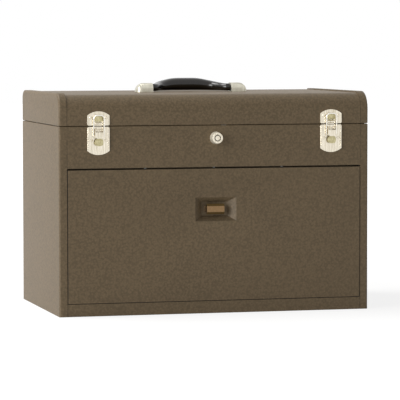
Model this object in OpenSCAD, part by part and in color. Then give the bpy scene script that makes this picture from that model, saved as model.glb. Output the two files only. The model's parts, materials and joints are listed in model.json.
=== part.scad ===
// Portable steel tool chest: seven felt-lined drawers behind a lift-off front cover, and a till
// under a hinged lid. The origin lies under the middle of the case, X points right, Y back, Z up.
// Sizes are in millimetres. Depths called b are measured backwards from the front face.

/* [Case] */
// Width over the sides
case_w = 511; // [440:1:620]
// Depth from the front face to the back
case_d = 305; // [280:1:380]
// Height of the seam between case and lid
seam_h = 301.5; // [296:0.5:340]
// Thickness of the case, lid and cover sheet
sheet = 1; // [0.9:0.1:1.4]
// Outer radius of the upright corners
corner_r = 3.2; // [3.2:0.2:5]
// Radius of the rolled edges at the seam
roll_r = 1.5; // [1.2:0.1:1.5]
// Gap between the rolled edges of case and lid
seam_gap = 0.7; // [0.6:0.1:1.2]
// Width of the flanges beside the cover
flange_w = 13; // [12:0.5:16]
// Height of the rail under the cover
rail_h = 20; // [16:0.5:24]
// Height of the header between cover and seam
header_h = 67; // [64:0.5:76]

/* [Lid] */
// Height of the lid above the seam
lid_h = 49.5; // [44:0.5:64]
// Radius of the lid's front bend
lid_front_r = 26; // [20:1:27]
// Radius of the lid's back bend
lid_back_r = 12; // [8:1:18]
// Opening angle of the lid in degrees
lid_open = 100; // [90:1:100]

/* [Cover] */
// Depth of the cover's turned-back flanges
cover_t = 16; // [15:0.5:18]
// Gap beside the cover
cover_side_gap = 0.8; // [0.5:0.1:1.2]
// Gap above the cover
cover_top_gap = 2.5; // [2:0.1:3]
// Gap below the cover
cover_foot_gap = 0.5; // [0.3:0.1:1]
// Width of the recess at the face
recess_w = 68; // [60:1:80]
// Height of the recess at the face
recess_h = 38.5; // [34:0.5:44]
// Depth of the recess
recess_deep = 12; // [10:0.5:13]
// Distance from the header down to the middle of the recess
recess_drop = 67.5; // [64:0.5:70]
// Width of the recess floor
recess_floor_w = 42; // [38:1:48]
// Height of the recess floor
recess_floor_h = 22; // [18:1:26]
// Length of the strap pull
strap_l = 29; // [24:1:31]
// Width of the flat of the strap pull
strap_w = 9.4; // [8:0.2:11]
// Thickness of the strap pull
strap_t = 1.2; // [1:0.1:1.6]

/* [Drawers] */
// Thickness of the drawer sheet
drawer_sheet = 0.8; // [0.7:0.1:1.2]
// Height of the bottom drawer's front
low_h = 53; // [46:1:56]
// Height of the second full-width drawer's front
mid_h = 43; // [38:1:46]
// Gap between drawer fronts
front_gap = 1.5; // [1:0.1:2]
// Distance between the two dividers
divider_span = 194.5; // [170:0.5:210]
// Length of the drawer boxes
drawer_len = 280; // [240:1:280]
// Thickness of the felt
felt_t = 1.4; // [1:0.1:2]
// Length of a drawer pull
pull_l = 46; // [36:1:56]
// How far a drawer pull stands out
pull_out = 11; // [9:0.5:12]

/* [Latches] */
// Distance of a latch from the side of the case
latch_side = 63.5; // [50:0.5:85]
// Width of the latch plates
latch_w = 36; // [34:0.5:38]
// Height of the latch base plate
base_h = 44.6; // [43:0.2:48]
// Height of the latch strike plate
strike_h = 22.5; // [21.5:0.5:24]
// Diameter of the latch wire
wire_d = 2; // [1.8:0.1:2.1]

/* [Lock] */
// Height of the lock above the header's lower edge
lock_rise = 46.5; // [44:0.5:48]
// Diameter of the lock face
lock_d = 17; // [15:0.5:18]
// How far the lock stands out
lock_out = 12; // [8:0.5:14]
// Distance of a lock bar prong from the middle
prong_x = 113; // [90:1:150]
// Radius of the cam's drive pin orbit
throw_r = 4.3; // [4:0.1:4.5]

/* [Handle] */
// Half the clear distance between the handle caps
cap_x = 66.5; // [60:0.5:80]
// Length of a handle cap
cap_l = 28; // [24:0.5:32]
// Height of a handle cap
cap_h = 15; // [14:0.5:17]
// Width of a handle cap
cap_w = 24; // [20:0.5:28]
// Diameter of the handle pivots
pivot_d = 6; // [5:0.5:7]
// Reach of the grip's middle from its pivots
grip_reach = 40; // [34:1:48]
// Distance of the handle behind the middle of the lid
handle_back = 8; // [0:1:20]

/* [Hinge] */
// Distance of the hinge's ends from the sides
hinge_inset = 18; // [16:1:60]
// Number of hinge knuckles
knuckles = 19; // [11:2:25]
// Diameter of the hinge pin
hinge_pin_d = 2.4; // [2:0.1:2.6]

/* [Hidden] */
$fn = 48;
eps = 0.01;

// Clearances
run_fit = 0.05;      // round pin in its bore, per side
seat = 0.3;          // pieces that lie against each other but move apart
lap_gap = 0.1;       // painted sheets at a lapped seam
runner_gap = 0.35;   // drawer rail in its channel, above and below

// Planes of the case
face_y = -case_d / 2;
back_y = case_d / 2;
side_x = case_w / 2;
open_x = side_x - flange_w;
case_top = seam_h - seam_gap / 2;
lid_low = seam_h + seam_gap / 2;
lid_top = seam_h + lid_h;
header_z = seam_h - header_h;
recess_z = header_z - recess_drop;
latch_x = side_x - latch_side;
tongue_w = 8;

// Cover
cover_x = open_x - cover_side_gap;
cover_z0 = rail_h + cover_foot_gap;
cover_z1 = header_z - cover_top_gap;

// Drawer fronts stand behind the cover, above the slot that stows it
front_y = face_y + cover_t + 0.8;
front_lip = 5;
stow_z = rail_h + cover_t + 3.5;
low_z = stow_z;
mid_z = low_z + low_h + front_gap;
shelf_z = mid_z + mid_h + 0.9;
small_z = shelf_z + sheet + 0.9;
deep_h = header_z - 1 - small_z;
small_h = (deep_h - front_gap) / 2;
top_z = small_z + small_h + front_gap;

// Runners: open channels on the case, folded rails on the drawers
runner_t = 1;
post_w = 20;
runner_depth = 9.3;
runner_h = 10;
runner_rise = 14;
runner_x = open_x - 0.2;
runner_y = front_y + front_lip + 1;
runner_short = 18;
rail_short = 30;
rail_set = 2;
rail_play = 0.6;
runner_l = drawer_len - runner_short;
box_gap = 0.8;
div_x = divider_span / 2;
box_out = runner_x - runner_depth - box_gap;
box_in = div_x + sheet / 2 + runner_depth + box_gap;
box_mid = div_x - sheet / 2 - runner_depth - box_gap;
front_out = open_x - 1;
front_in = div_x + front_gap / 2;
front_mid = div_x - front_gap / 2;

// Drawers: front from, front to, box from, box to, base height, front height, pulls
DRAWERS = [
    [-front_out, -front_in, -box_out, -box_in, top_z, small_h, [0]],
    [front_in, front_out, box_in, box_out, top_z, small_h, [0]],
    [-front_out, -front_in, -box_out, -box_in, small_z, small_h, [0]],
    [front_in, front_out, box_in, box_out, small_z, small_h, [0]],
    [-front_mid, front_mid, -box_mid, box_mid, small_z, deep_h, [0]],
    [-front_out, front_out, -box_out, box_out, mid_z, mid_h, [-1, 1]],
    [-front_out, front_out, -box_out, box_out, low_z, low_h, [-1, 1]]];
wide_pull_x = 130;
shelf_hole_d = 50;
shelf_hole_x = 150;
shelf_hole_y = 40;
box_lift = 1.5;
box_drop = 7;

// Lock and lock bar
lock_z = header_z + lock_rise;
lock_base_d = lock_d + 3;
thread_d = lock_d - 1;
nut_d = 22;
nut_t = 3;
plug_d = 12;
plug_back = 0.4;
key_ring_d = 10.4;
key_ring_w = 1.3;
key_deep = 4;
key_notch_w = 1.4;
key_notch_h = 0.6;
bar_b = 12.1;
bar_t = 1.5;
bar_h = 10;
bar_below = 25;
bar_clip_rise = 4;
bar_z0 = lock_z - bar_below;
bar_z1 = bar_z0 + bar_h;
bar_end = 6;
bar_clip_x = [60, 85];
bar_clip_w = 12;
prong_w = 3.2;
prong_wall = 1;
drive_pin_d = 3.4;
drive_pin_over = 0.8;
cam_hub_d = 14;
drive_slack = 0.4;
cam_b = 10.4;
cam_t = 1.2;
lock_body_b = 10;
plug_end_b = 9.9;
tang = 3.6;
cam_reach = 19;
cam_w = 9;
keeper_b = 7;
keeper_x0 = 11;
keeper_w = 8;
keeper_t = 1.2;
keeper_gap = 0.8;
keeper_foot = 12;
flange_b = 16.2;

// Till
till_b = flange_b + 0.3;
till_lip = 10;
till_lip_inset = 20;
liner_gap = 1;

// Hinge
hinge_l = case_w - 2 * hinge_inset;
hinge_r = 2.4;
hinge_y = back_y + hinge_r + 0.3;
leaf_t = 1;
leaf_h = 14;
knuckle_l = hinge_l / knuckles;
knuckle_gap = 0.4;

// Lid stay: the arm keeps its slant, so its foot runs on an arc as wide as the lid pivot's own
stay_py = -50;
stay_pz = 16;
stay_vy = -60;
stay_vz = -66;
stay_r = sqrt(stay_py * stay_py + stay_pz * stay_pz);
stay_a0 = atan2(stay_pz, stay_py);
stay_cy = hinge_y + stay_vy;
stay_cz = seam_h + stay_vz;
stay_pin_d = 4;
stay_band = 14;
stay_post_d = 2.8;
stay_head_d = 6.6;
stay_in = 9;
stay_x = -side_x + sheet + stay_in;
stay_t = 1.5;
arm_w = 9;

// Latch: o is the distance in front of the face, z is measured from the seam
latch_t = 1.4;
strike_t = 1.2;
plate_rise = 6.5;
plate_corner = 2.4;
strike_foot_z = 1;
base_top_z = -0.9;
rail_w = 1.6;
rail_out = 1.4;
rail_z0 = -36;
rail_z1 = -3;
lever_w = 14;
lever_t = 1.2;
lever_o = 5.6;
lever_z = -6.5;
lever_hub_r = 3.2;
lever_pin_d = 2.6;
web_o = lever_o + 2.6;
ear_x = 4.2;
ear_t = 1.2;
ear_r = 2.6;
cheek_t = 1.2;
bail_o = 3.4;
bail_z = -16.5;
bail_boss_r = 1.7;
bail_top_o = 6.4;
bail_top_z = 17;
bail_top_r = 5.5;
bail_foot_r = 1.3;
leg_x = lever_w / 2 + wire_d / 2 + 0.4;
neck_w = 9.2;
neck_z = -18.4;
tab_z = -19.4;
tab_dip = 3;
tab_flare = 0.4;
tab_r = 5.2;
lever_end_z = -31;
hook_w = 13.2;
hook_h = 8.4;
hook_z = 7.4;
hook_o = 4.7;
hook_r = 4.2;
hook_bend_r = 16;
hook_slit = 0.6;
bead_w = 11.2;
bead_h = 4.6;
bead_z = 3.7;
bead_o = 1.2;
rivet_d = 3;
rivet_head_d = 5;
rivet_head_h = 1;
strike_rivet_x = 12.4;
strike_rivet_z = 13.6;
base_rivet_x = 12;
base_rivet_z = -22.4;

// Drawer pulls
pull_t = 1;
pull_flange = 2;
pull_ear = 8;
deep_pull_drop = 27;
spot_d = 4;

// Cover pull
strap_flank = 3.8;
strap_rise = 2.4;
strap_foot = 5;
strap_b = 0.6;

// Handle
pivot_z = lid_top + 7.6;
pivot_fit = 0.06;
cap_wall = 1.3;
cap_side_r = 13;
cap_end_r = 9;
cap_plan_r = 10;
cap_stud_d = 6.5;
cap_hole_deep = 6.2;
cap_rivet_x = cap_x + 15;
cap_rivet_y = 6;
cap_front = 2.5;

paint = [0.36, 0.32, 0.25];
nickel = [0.86, 0.84, 0.78];
zinc = [0.72, 0.72, 0.70];
felt = [0.30, 0.20, 0.13];
black = [0.06, 0.06, 0.06];
bronze = [0.55, 0.43, 0.30];

// ---------------------------------------------------------------- shared shapes

// Box from one corner to the other
module block(p, q) {
    translate(p)
        cube(q - p);
}

// Cylinder along Y from y0 to y1
module rod_y(x, z, y0, y1, d) {
    translate([x, y0, z])
        rotate([-90, 0, 0])
            cylinder(d = d, h = y1 - y0);
}

// Cylinder along X from x0 to x1
module rod_x(x0, x1, y, z, d) {
    translate([x0, y, z])
        rotate([0, 90, 0])
            cylinder(d = d, h = x1 - x0);
}

// Flat shape in Y and Z, drawn out along X
module along_x(x0, x1) {
    translate([x0, 0, 0])
        rotate([90, 0, 90])
            linear_extrude(x1 - x0)
                children();
}

// Wall or edge profile swept round the case with upright corners of radius r
module sweep_ring(w, d, r) {
    for (k = [0:3]) {
        run = k % 2 == 0 ? d : w;
        out = k % 2 == 0 ? w : d;
        rotate([0, 0, 90 * k]) {
            translate([out / 2 - r, run / 2 - r, 0])
                rotate([90, 0, 0])
                    linear_extrude(run - 2 * r)
                        children();
            translate([out / 2 - r, run / 2 - r, 0])
                rotate_extrude(angle = 90)
                    children();
        }
    }
}

module wall_profile() {
    translate([corner_r - sheet, 0])
        square([sheet, case_top - roll_r]);
    translate([corner_r - roll_r, case_top - roll_r])
        circle(roll_r);
}

module roll_profile(z) {
    translate([corner_r - roll_r, z])
        circle(roll_r);
}

// Rivet along -Y: head outside at y, shank through to y + grip, closed head inside
module rivet(x, y, z, grip) {
    translate([x, y, z])
        rotate([90, 0, 0])
            cylinder(d1 = rivet_head_d, d2 = rivet_head_d - 1.8, h = rivet_head_h);
    rod_y(x, z, y, y + grip, rivet_d - 2 * run_fit);
    rod_y(x, z, y + grip, y + grip + rivet_head_h, rivet_head_d);
}

// ---------------------------------------------------------------- case

module case_shell() {
    color(paint) {
        difference() {
            sweep_ring(case_w, case_d, corner_r)
                wall_profile();
            block([-open_x, face_y - 1, -1], [open_x, face_y + corner_r + sheet, seam_h + 1]);
        }
        block([-side_x + sheet / 2, face_y + sheet + lap_gap, 0],
            [side_x - sheet / 2, back_y - sheet / 2, sheet]);
        for (s = [0, 1])
            mirror([s, 0, 0])
                block([open_x, face_y + sheet / 2, rail_h + 0.5],
                    [open_x + sheet, face_y + 8, header_z - 0.5]);
        for (s = [0, 1])
            mirror([s, 0, 0])
                block([open_x, face_y, 0],
                    [side_x - corner_r, face_y + sheet, 2]);
    }
}

// Tongue that laps behind the flange of the case
module side_tongue(z0, z1) {
    for (s = [0, 1])
        mirror([s, 0, 0]) {
            block([open_x - tongue_w, face_y + sheet - eps, z0],
                [open_x - lap_gap, face_y + 2 * sheet, z1]);
            block([open_x - tongue_w, face_y + sheet, z0],
                [open_x + tongue_w, face_y + 2 * sheet, z1]);
        }
}

module front_header() {
    x1 = open_x - lap_gap;
    color(paint)
        difference() {
            union() {
                block([-x1, face_y, header_z], [x1, face_y + sheet, case_top - roll_r]);
                rod_x(-x1, x1, face_y + roll_r, case_top - roll_r, 2 * roll_r);
                block([-x1, face_y, header_z], [x1, face_y + flange_b, header_z + sheet]);
                side_tongue(header_z + 2, case_top - 2 * roll_r - 1);
                // clips in front of the lock bar and behind it
                for (s = [-1, 1])
                    for (k = [0, 1]) {
                        x = s * bar_clip_x[k];
                        b = k == 0 ? bar_b + bar_t + seat : bar_b - seat - sheet;
                        block([x - bar_clip_w / 2, face_y + b, header_z],
                            [x + bar_clip_w / 2, face_y + b + sheet, bar_z1 + bar_clip_rise]);
                    }
            }
            rod_y(0, lock_z, face_y - 1, face_y + sheet + 1, thread_d + 2 * run_fit);
            for (x = [-prong_x, 0, prong_x])
                block([x - prong_w / 2 - seat, face_y + bar_b - seat, header_z - 1],
                    [x + prong_w / 2 + seat, face_y + bar_b + bar_t + seat, header_z + sheet + 1]);
            for (s = [-1, 1])
                for (x = [-base_rivet_x, base_rivet_x])
                    rod_y(s * latch_x + x, seam_h + base_rivet_z,
                        face_y - 1, face_y + sheet + 1, rivet_d);
        }
}

module bottom_rail() {
    x1 = open_x - lap_gap;
    color(paint) {
        block([-x1, face_y, 0], [x1, face_y + sheet, rail_h]);
        block([-x1, face_y, rail_h - sheet], [x1, face_y + cover_t - 2, rail_h]);
        side_tongue(sheet, rail_h);
    }
}

module till_floor() {
    y0 = face_y + till_b;
    x1 = side_x - sheet;
    notch = corner_r;
    color(paint) {
        difference() {
            block([-x1, y0, header_z], [x1, back_y - sheet, header_z + sheet]);
            for (s = [0, 1])
                mirror([s, 0, 0])
                    block([x1 - notch, back_y - sheet - notch, header_z - 1],
                        [x1 + 1, back_y, header_z + sheet + 1]);
        }
        block([-x1 + till_lip_inset, y0, header_z],
            [x1 - till_lip_inset, y0 + sheet, header_z + till_lip]);
    }
}

module till_liner() {
    y0 = face_y + till_b + sheet + liner_gap;
    x1 = side_x - sheet - liner_gap;
    color(felt)
        difference() {
            block([-x1, y0, header_z + sheet],
                [x1, back_y - sheet - liner_gap, header_z + sheet + felt_t]);
            for (s = [0, 1])
                mirror([s, 0, 0])
                    block([x1 - corner_r, back_y - sheet - liner_gap - corner_r, header_z],
                        [x1 + 1, back_y, seam_h]);
        }
}

module drawer_shelf() {
    color(paint)
        difference() {
            block([-runner_x, runner_y, shelf_z], [runner_x, back_y - sheet, shelf_z + sheet]);
            for (k = [-1:1])
                translate([k * shelf_hole_x, shelf_hole_y, shelf_z - 1])
                    cylinder(d = shelf_hole_d, h = sheet + 2);
        }
}

// Channel that opens away from x, towards dir
module runner(x, dir, z) {
    translate([x, runner_y, z + runner_rise - runner_h / 2])
        mirror([dir < 0 ? 1 : 0, 0, 0])
            difference() {
                cube([runner_depth, runner_l, runner_h]);
                translate([runner_t, -1, runner_t])
                    cube([runner_depth, runner_l + 2, runner_h - 2 * runner_t]);
            }
}

module divider(s) {
    color(paint) {
        block([s * div_x - sheet / 2, runner_y, shelf_z + sheet],
            [s * div_x + sheet / 2, back_y - sheet, header_z]);
        for (z = [small_z, top_z])
            runner(s * (div_x + sheet / 2), s, z);
        runner(s * (div_x - sheet / 2), -s, small_z);
    }
}

module divider_left() {
    divider(-1);
}

module divider_right() {
    divider(1);
}

module side_runners() {
    x0 = runner_x;
    x1 = side_x - sheet;
    color(zinc)
        for (s = [0, 1])
            mirror([s, 0, 0]) {
                for (z = [low_z, mid_z, small_z, top_z])
                    runner(x0, -1, z);
                for (y = [runner_y, runner_y + runner_l - post_w])
                    difference() {
                        block([x0, y, sheet], [x1, y + post_w, header_z]);
                        block([x0 + runner_t, y + runner_t, -1],
                            [x1 + 1, y + post_w - runner_t, header_z + 1]);
                    }
                block([cover_x - 8, runner_y, rail_h - 1], [x0 + eps, runner_y + runner_l, rail_h]);
            }
}

// ---------------------------------------------------------------- hinge and stay

// Leaf on the back wall with every second knuckle; up is 1 for the lid and -1 for the case
module hinge_leaf(up, first) {
    z0 = up > 0 ? lid_low + 2 * roll_r + 1 : case_top - 2 * roll_r - 1 - leaf_h;
    difference() {
        union() {
            block([-hinge_l / 2, back_y, z0], [hinge_l / 2, back_y + leaf_t, z0 + leaf_h]);
            for (k = [first:2:knuckles - 1]) {
                x0 = -hinge_l / 2 + k * knuckle_l + knuckle_gap / 2;
                x1 = x0 + knuckle_l - knuckle_gap;
                rod_x(x0, x1, hinge_y, seam_h, 2 * hinge_r);
                if (up > 0)
                    block([x0, hinge_y - hinge_r, seam_h],
                        [x1, hinge_y - hinge_r + leaf_t, z0 + 1]);
                else
                    block([x0, hinge_y - hinge_r, z0 + leaf_h - 1],
                        [x1, hinge_y - hinge_r + leaf_t, seam_h]);
            }
        }
        rod_x(-hinge_l, hinge_l, hinge_y, seam_h, hinge_pin_d + 2 * run_fit);
    }
}

module hinge_case_leaf() {
    color(paint)
        hinge_leaf(-1, 0);
}

module hinge_lid_leaf() {
    color(paint)
        hinge_leaf(1, 1);
}

module hinge_pin() {
    color(zinc)
        rod_x(-hinge_l / 2, hinge_l / 2, hinge_y, seam_h, hinge_pin_d);
}

// Point on the stay's arc at angle a
function stay_at(a) = [stay_cy + stay_r * cos(a), stay_cz + stay_r * sin(a)];

// Arc band of width w about the stay's arc, in Y and Z
module stay_arc(w, a0, a1) {
    translate([stay_cy, stay_cz])
        rotate(a1)
            rotate_band(stay_r - w / 2, stay_r + w / 2, a0 - a1);
    for (a = [a0, a1])
        translate(stay_at(a))
            circle(d = w);
}

// Flat ring sector from angle 0 to a
module rotate_band(r0, r1, a) {
    difference() {
        circle(r1, $fn = 96);
        circle(r0, $fn = 96);
        rotate(a)
            translate([-2 * r1, 0])
                square([4 * r1, 2 * r1]);
        translate([-2 * r1, -2 * r1])
            square([4 * r1, 2 * r1]);
    }
}

module stay_quadrant() {
    a1 = stay_a0 - lid_open;
    wall = -side_x + sheet;
    color(zinc) {
        along_x(stay_x, stay_x + stay_t)
            difference() {
                stay_arc(stay_band, stay_a0 + 4, a1 - 4);
                stay_arc(stay_pin_d + 2 * seat, stay_a0 + 0.8, a1 - 0.8);
            }
        for (a = [stay_a0 - 25, a1 + 20]) {
            p = stay_at(a);
            in = (stay_band - stay_post_d) / 2;
            rod_x(wall, stay_x + eps, p[0] - in * cos(a), p[1] - in * sin(a), stay_post_d);
        }
    }
}

module stay_arm() {
    p = [hinge_y + stay_py, seam_h + stay_pz];
    q = [p[0] + stay_vy, p[1] + stay_vz];
    x0 = stay_x + stay_t + seat;
    color(zinc) {
        difference() {
            along_x(x0, x0 + stay_t)
                union() {
                    translate(p)
                        circle(d = arm_w);
                    translate(q)
                        circle(d = arm_w);
                    translate(p)
                        rotate(atan2(stay_vz, stay_vy))
                            translate([0, -arm_w / 2])
                                square([norm([stay_vy, stay_vz]), arm_w]);
                }
            rod_x(x0 - 1, x0 + stay_t + 1, p[0], p[1], stay_pin_d + 2 * run_fit);
        }
        rod_x(stay_x - seat - 1.2, x0 + eps, q[0], q[1], stay_pin_d);
        rod_x(stay_x - seat - 1.2, stay_x - seat, q[0], q[1], stay_head_d);
        rod_x(x0 + stay_t - eps, x0 + stay_t + 1, q[0], q[1], stay_pin_d + 2);
    }
}

// ---------------------------------------------------------------- lid

// Side view of the lid, inset from its outside, from height z up
module lid_side(inset, z) {
    r1 = lid_front_r - inset;
    r2 = lid_back_r - inset;
    y0 = face_y + inset;
    y1 = back_y - inset;
    top = lid_top - inset;
    translate([y0, z])
        square([y1 - y0, top - r1 - z]);
    translate([y0 + r1, z])
        square([y1 - r2 - y0 - r1, top - z]);
    translate([y0 + r1, z])
        square([y1 - y0 - r1, top - r2 - z]);
    translate([y0 + r1, top - r1])
        intersection() {
            circle(r1, $fn = 96);
            translate([-r1, 0])
                square(r1);
        }
    translate([y1 - r2, top - r2])
        intersection() {
            circle(r2, $fn = 64);
            square(r2);
        }
}

module lid_shell() {
    zr = lid_low + roll_r;
    x1 = open_x - lap_gap;
    color(paint)
        difference() {
            along_x(-x1, x1)
                union() {
                    difference() {
                        lid_side(0, zr);
                        lid_side(sheet, zr - 1);
                    }
                    translate([face_y + roll_r, zr])
                        circle(roll_r);
                    translate([back_y - roll_r, zr])
                        circle(roll_r);
                }
            for (s = [-1, 1]) {
                for (x = [-strike_rivet_x, strike_rivet_x])
                    rod_y(s * latch_x + x, seam_h + strike_rivet_z,
                        face_y - 1, face_y + sheet + 1, rivet_d);
                for (y = [-cap_rivet_y, cap_rivet_y])
                    translate([s * cap_rivet_x, handle_back + y, lid_top - sheet - 1])
                        cylinder(d = rivet_d, h = sheet + 2);
            }
        }
}

// Section swept over the lid's outline from height z; u is 0 on the outside and negative inside
module sweep_lid(z) {
    r1 = lid_front_r;
    r2 = lid_back_r;
    translate([0, face_y, z])
        linear_extrude(lid_top - r1 - z)
            rotate(-90)
                children();
    translate([0, face_y + r1, lid_top - r1])
        rotate([0, 90, 0])
            rotate([0, 0, 180])
                rotate_extrude(angle = 90, $fn = 96)
                    translate([r1, 0])
                        children();
    translate([0, face_y + r1, lid_top])
        rotate([-90, 0, 0])
            linear_extrude(case_d - r1 - r2)
                rotate(-90)
                    children();
    translate([0, back_y - r2, lid_top - r2])
        rotate([0, 90, 0])
            rotate([0, 0, 90])
                rotate_extrude(angle = 90, $fn = 64)
                    translate([r2, 0])
                        children();
    translate([0, back_y, lid_top - r2])
        rotate([180, 0, 0])
            linear_extrude(lid_top - r2 - z)
                rotate(-90)
                    children();
}

// Band beside the seam with the rounded edge to the end
module end_section() {
    translate([-sheet, open_x])
        square([sheet, side_x - corner_r - open_x]);
    translate([-corner_r, side_x - corner_r])
        difference() {
            intersection() {
                circle(corner_r);
                square(corner_r);
            }
            circle(corner_r - sheet);
        }
}

module lid_end() {
    zr = lid_low + roll_r;
    color(paint) {
        sweep_lid(zr)
            end_section();
        along_x(side_x - sheet, side_x)
            lid_side(corner_r - eps, zr);
        intersection() {
            sweep_ring(case_w, case_d, corner_r)
                roll_profile(zr);
            block([open_x, -case_d, lid_low - 1], [case_w, case_d, lid_low + 10]);
        }
        along_x(open_x - 9, open_x + 3)
            difference() {
                lid_side(sheet + lap_gap / 2, zr + roll_r + 0.5);
                lid_side(2 * sheet, zr - 1);
            }
        along_x(open_x, open_x + 3)
            difference() {
                lid_side(sheet / 2, zr + roll_r + 0.5);
                lid_side(2 * sheet, zr - 1);
            }
    }
}

module lid_end_left() {
    mirror([1, 0, 0])
        lid_end();
    stay_stud();
}

module lid_end_right() {
    lid_end();
}

// Stud on the left lid end that carries the stay arm
module stay_stud() {
    y = hinge_y + stay_py;
    z = seam_h + stay_pz;
    x1 = stay_x + 2 * stay_t + seat;
    color(zinc) {
        rod_x(-side_x + sheet / 2, x1 + seat, y, z, stay_pin_d);
        rod_x(-side_x + sheet / 2, stay_x + stay_t, y, z, stay_pin_d + 3);
        rod_x(x1 + seat, x1 + seat + 1.2, y, z, stay_pin_d + 2.5);
    }
}

// ---------------------------------------------------------------- latches

module at_latch(s) {
    translate([s * latch_x, face_y, seam_h])
        children();
}

// Plate with one arched end and round corners at the other, drawn in X and Z against the face
module arched_plate(w, h, rise, corner, t) {
    r = (w * w / 4 + rise * rise) / (2 * rise);
    intersection() {
        translate([0, 0, h])
            mirror([0, 0, 1])
                round_plate(w, h, corner, t);
        translate([0, 0, h - r])
            rotate([90, 0, 0])
                cylinder(r = r, h = t, $fn = 128);
    }
}

// Plate with two round corners at its top, drawn in X and Z against the face
module round_plate(w, h, r, t) {
    rotate([90, 0, 0])
        linear_extrude(t)
            union() {
                translate([-w / 2, 0])
                    square([w, h - r]);
                translate([-w / 2 + r, 0])
                    square([w - 2 * r, h]);
                for (s = [-1, 1])
                    translate([s * (w / 2 - r), h - r])
                        circle(r);
            }
}

module latch_base() {
    rail_x = latch_w / 2 - rail_w;
    color(nickel) {
        difference() {
            translate([0, 0, base_top_z])
                mirror([0, 0, 1])
                    arched_plate(latch_w, base_h, plate_rise, plate_corner, latch_t);
            for (x = [-base_rivet_x, base_rivet_x])
                rod_y(x, base_rivet_z, -latch_t - 1, 1, rivet_d);
        }
        for (s = [-1, 1]) {
            block([s * ear_x - ear_t / 2, -lever_o, lever_z - ear_r],
                [s * ear_x + ear_t / 2, -latch_t + eps, lever_z + ear_r]);
            rod_x(s * ear_x - ear_t / 2, s * ear_x + ear_t / 2, -lever_o, lever_z, 2 * ear_r);
            // stiffening rails beside the lever
            block([s * rail_x - rail_w / 2, -latch_t - rail_out, rail_z0],
                [s * rail_x + rail_w / 2, -latch_t + eps, rail_z1]);
        }
        rod_x(-lever_w / 2, lever_w / 2, -lever_o, lever_z, lever_pin_d);
    }
}

// Plate on the lid with a bead at its foot and a hook pressed out of its middle
module latch_strike() {
    bead_r = (bead_h * bead_h / 4 + bead_o * bead_o) / (2 * bead_o);
    color(nickel) {
        difference() {
            translate([0, 0, strike_foot_z])
                arched_plate(latch_w, strike_h, plate_rise, plate_corner, strike_t);
            translate([0, 1, hook_z + strike_t])
                round_plate(hook_w + 2 * hook_slit, hook_h - strike_t + hook_slit,
                    hook_r + hook_slit, strike_t + 2);
            for (x = [-strike_rivet_x, strike_rivet_x])
                rod_y(x, strike_rivet_z, -strike_t - 1, 1, rivet_d);
        }
        block([-bead_w / 2, -strike_t, 0], [bead_w / 2, 0, strike_foot_z + eps]);
        along_x(-bead_w / 2, bead_w / 2)
            intersection() {
                translate([-strike_t - bead_o + bead_r, bead_z])
                    circle(bead_r);
                translate([-strike_t - bead_o, bead_z - bead_h / 2])
                    square([bead_o + strike_t / 2, bead_h]);
            }
        intersection() {
            translate([0, 0, hook_z])
                round_plate(hook_w, hook_h, hook_r, hook_bend_r);
            difference() {
                hook_bow(hook_bend_r, hook_h);
                translate([0, 0, strike_t])
                    hook_bow(hook_bend_r - strike_t, hook_h);
            }
        }
    }
}

// Upright cylinder about the axis that the hook's face is bent round
module hook_bow(r, h) {
    translate([0, hook_bend_r - hook_o, hook_z])
        cylinder(r = r, h = h, $fn = 96);
}

// Front line of the lever from its web to the tip of its finger tab, as o and z
LEVER = concat([[web_o, lever_z - ear_r - 0.4]],
    [for (k = [0:0.125:1]) [web_o - tab_dip * sin(180 * k) + tab_flare * k,
        tab_z + (lever_end_z - tab_z) * k]]);

module latch_lever() {
    h = lever_w / 2;
    last = len(LEVER) - 1;
    color(nickel)
        difference() {
            union() {
                // cheeks with the pivot and the bail holes
                for (s = [0, 1])
                    mirror([s, 0, 0])
                        along_x(h - cheek_t, h)
                            union() {
                                translate([-lever_o, lever_z])
                                    circle(r = lever_hub_r);
                                translate([-bail_o, bail_z])
                                    circle(r = bail_boss_r);
                                polygon([[-web_o, lever_z], [-lever_o + ear_r, lever_z - 1],
                                    [-bail_o + bail_boss_r, bail_z], [-bail_o, bail_z - bail_boss_r],
                                    [-web_o, neck_z]]);
                            }
                // web and finger tab
                intersection() {
                    along_x(-h, h)
                        polygon(concat([for (p = LEVER) [-p[0], p[1]]],
                            [for (k = [last:-1:0]) [-LEVER[k][0] + lever_t, LEVER[k][1]]]));
                    union() {
                        block([-h, -3 * lever_o, neck_z], [h, 0, lever_z]);
                        block([-neck_w / 2, -3 * lever_o, tab_z - tab_r], [neck_w / 2, 0, lever_z]);
                        translate([0, 0, tab_z])
                            mirror([0, 0, 1])
                                round_plate(lever_w, tab_z - lever_end_z, tab_r, 3 * lever_o);
                    }
                    union() {
                        block([-h, -3 * lever_o, tab_z], [h, 0, lever_z]);
                        translate([0, 0, lever_end_z - 1])
                            round_plate(lever_w, tab_z - lever_end_z + 1, tab_r, 3 * lever_o);
                    }
                }
            }
            rod_x(-h - 1, h + 1, -lever_o, lever_z, lever_pin_d + 2 * run_fit);
            rod_x(-h - 1, h + 1, -bail_o, bail_z, wire_d + 2 * run_fit);
        }
}

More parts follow.
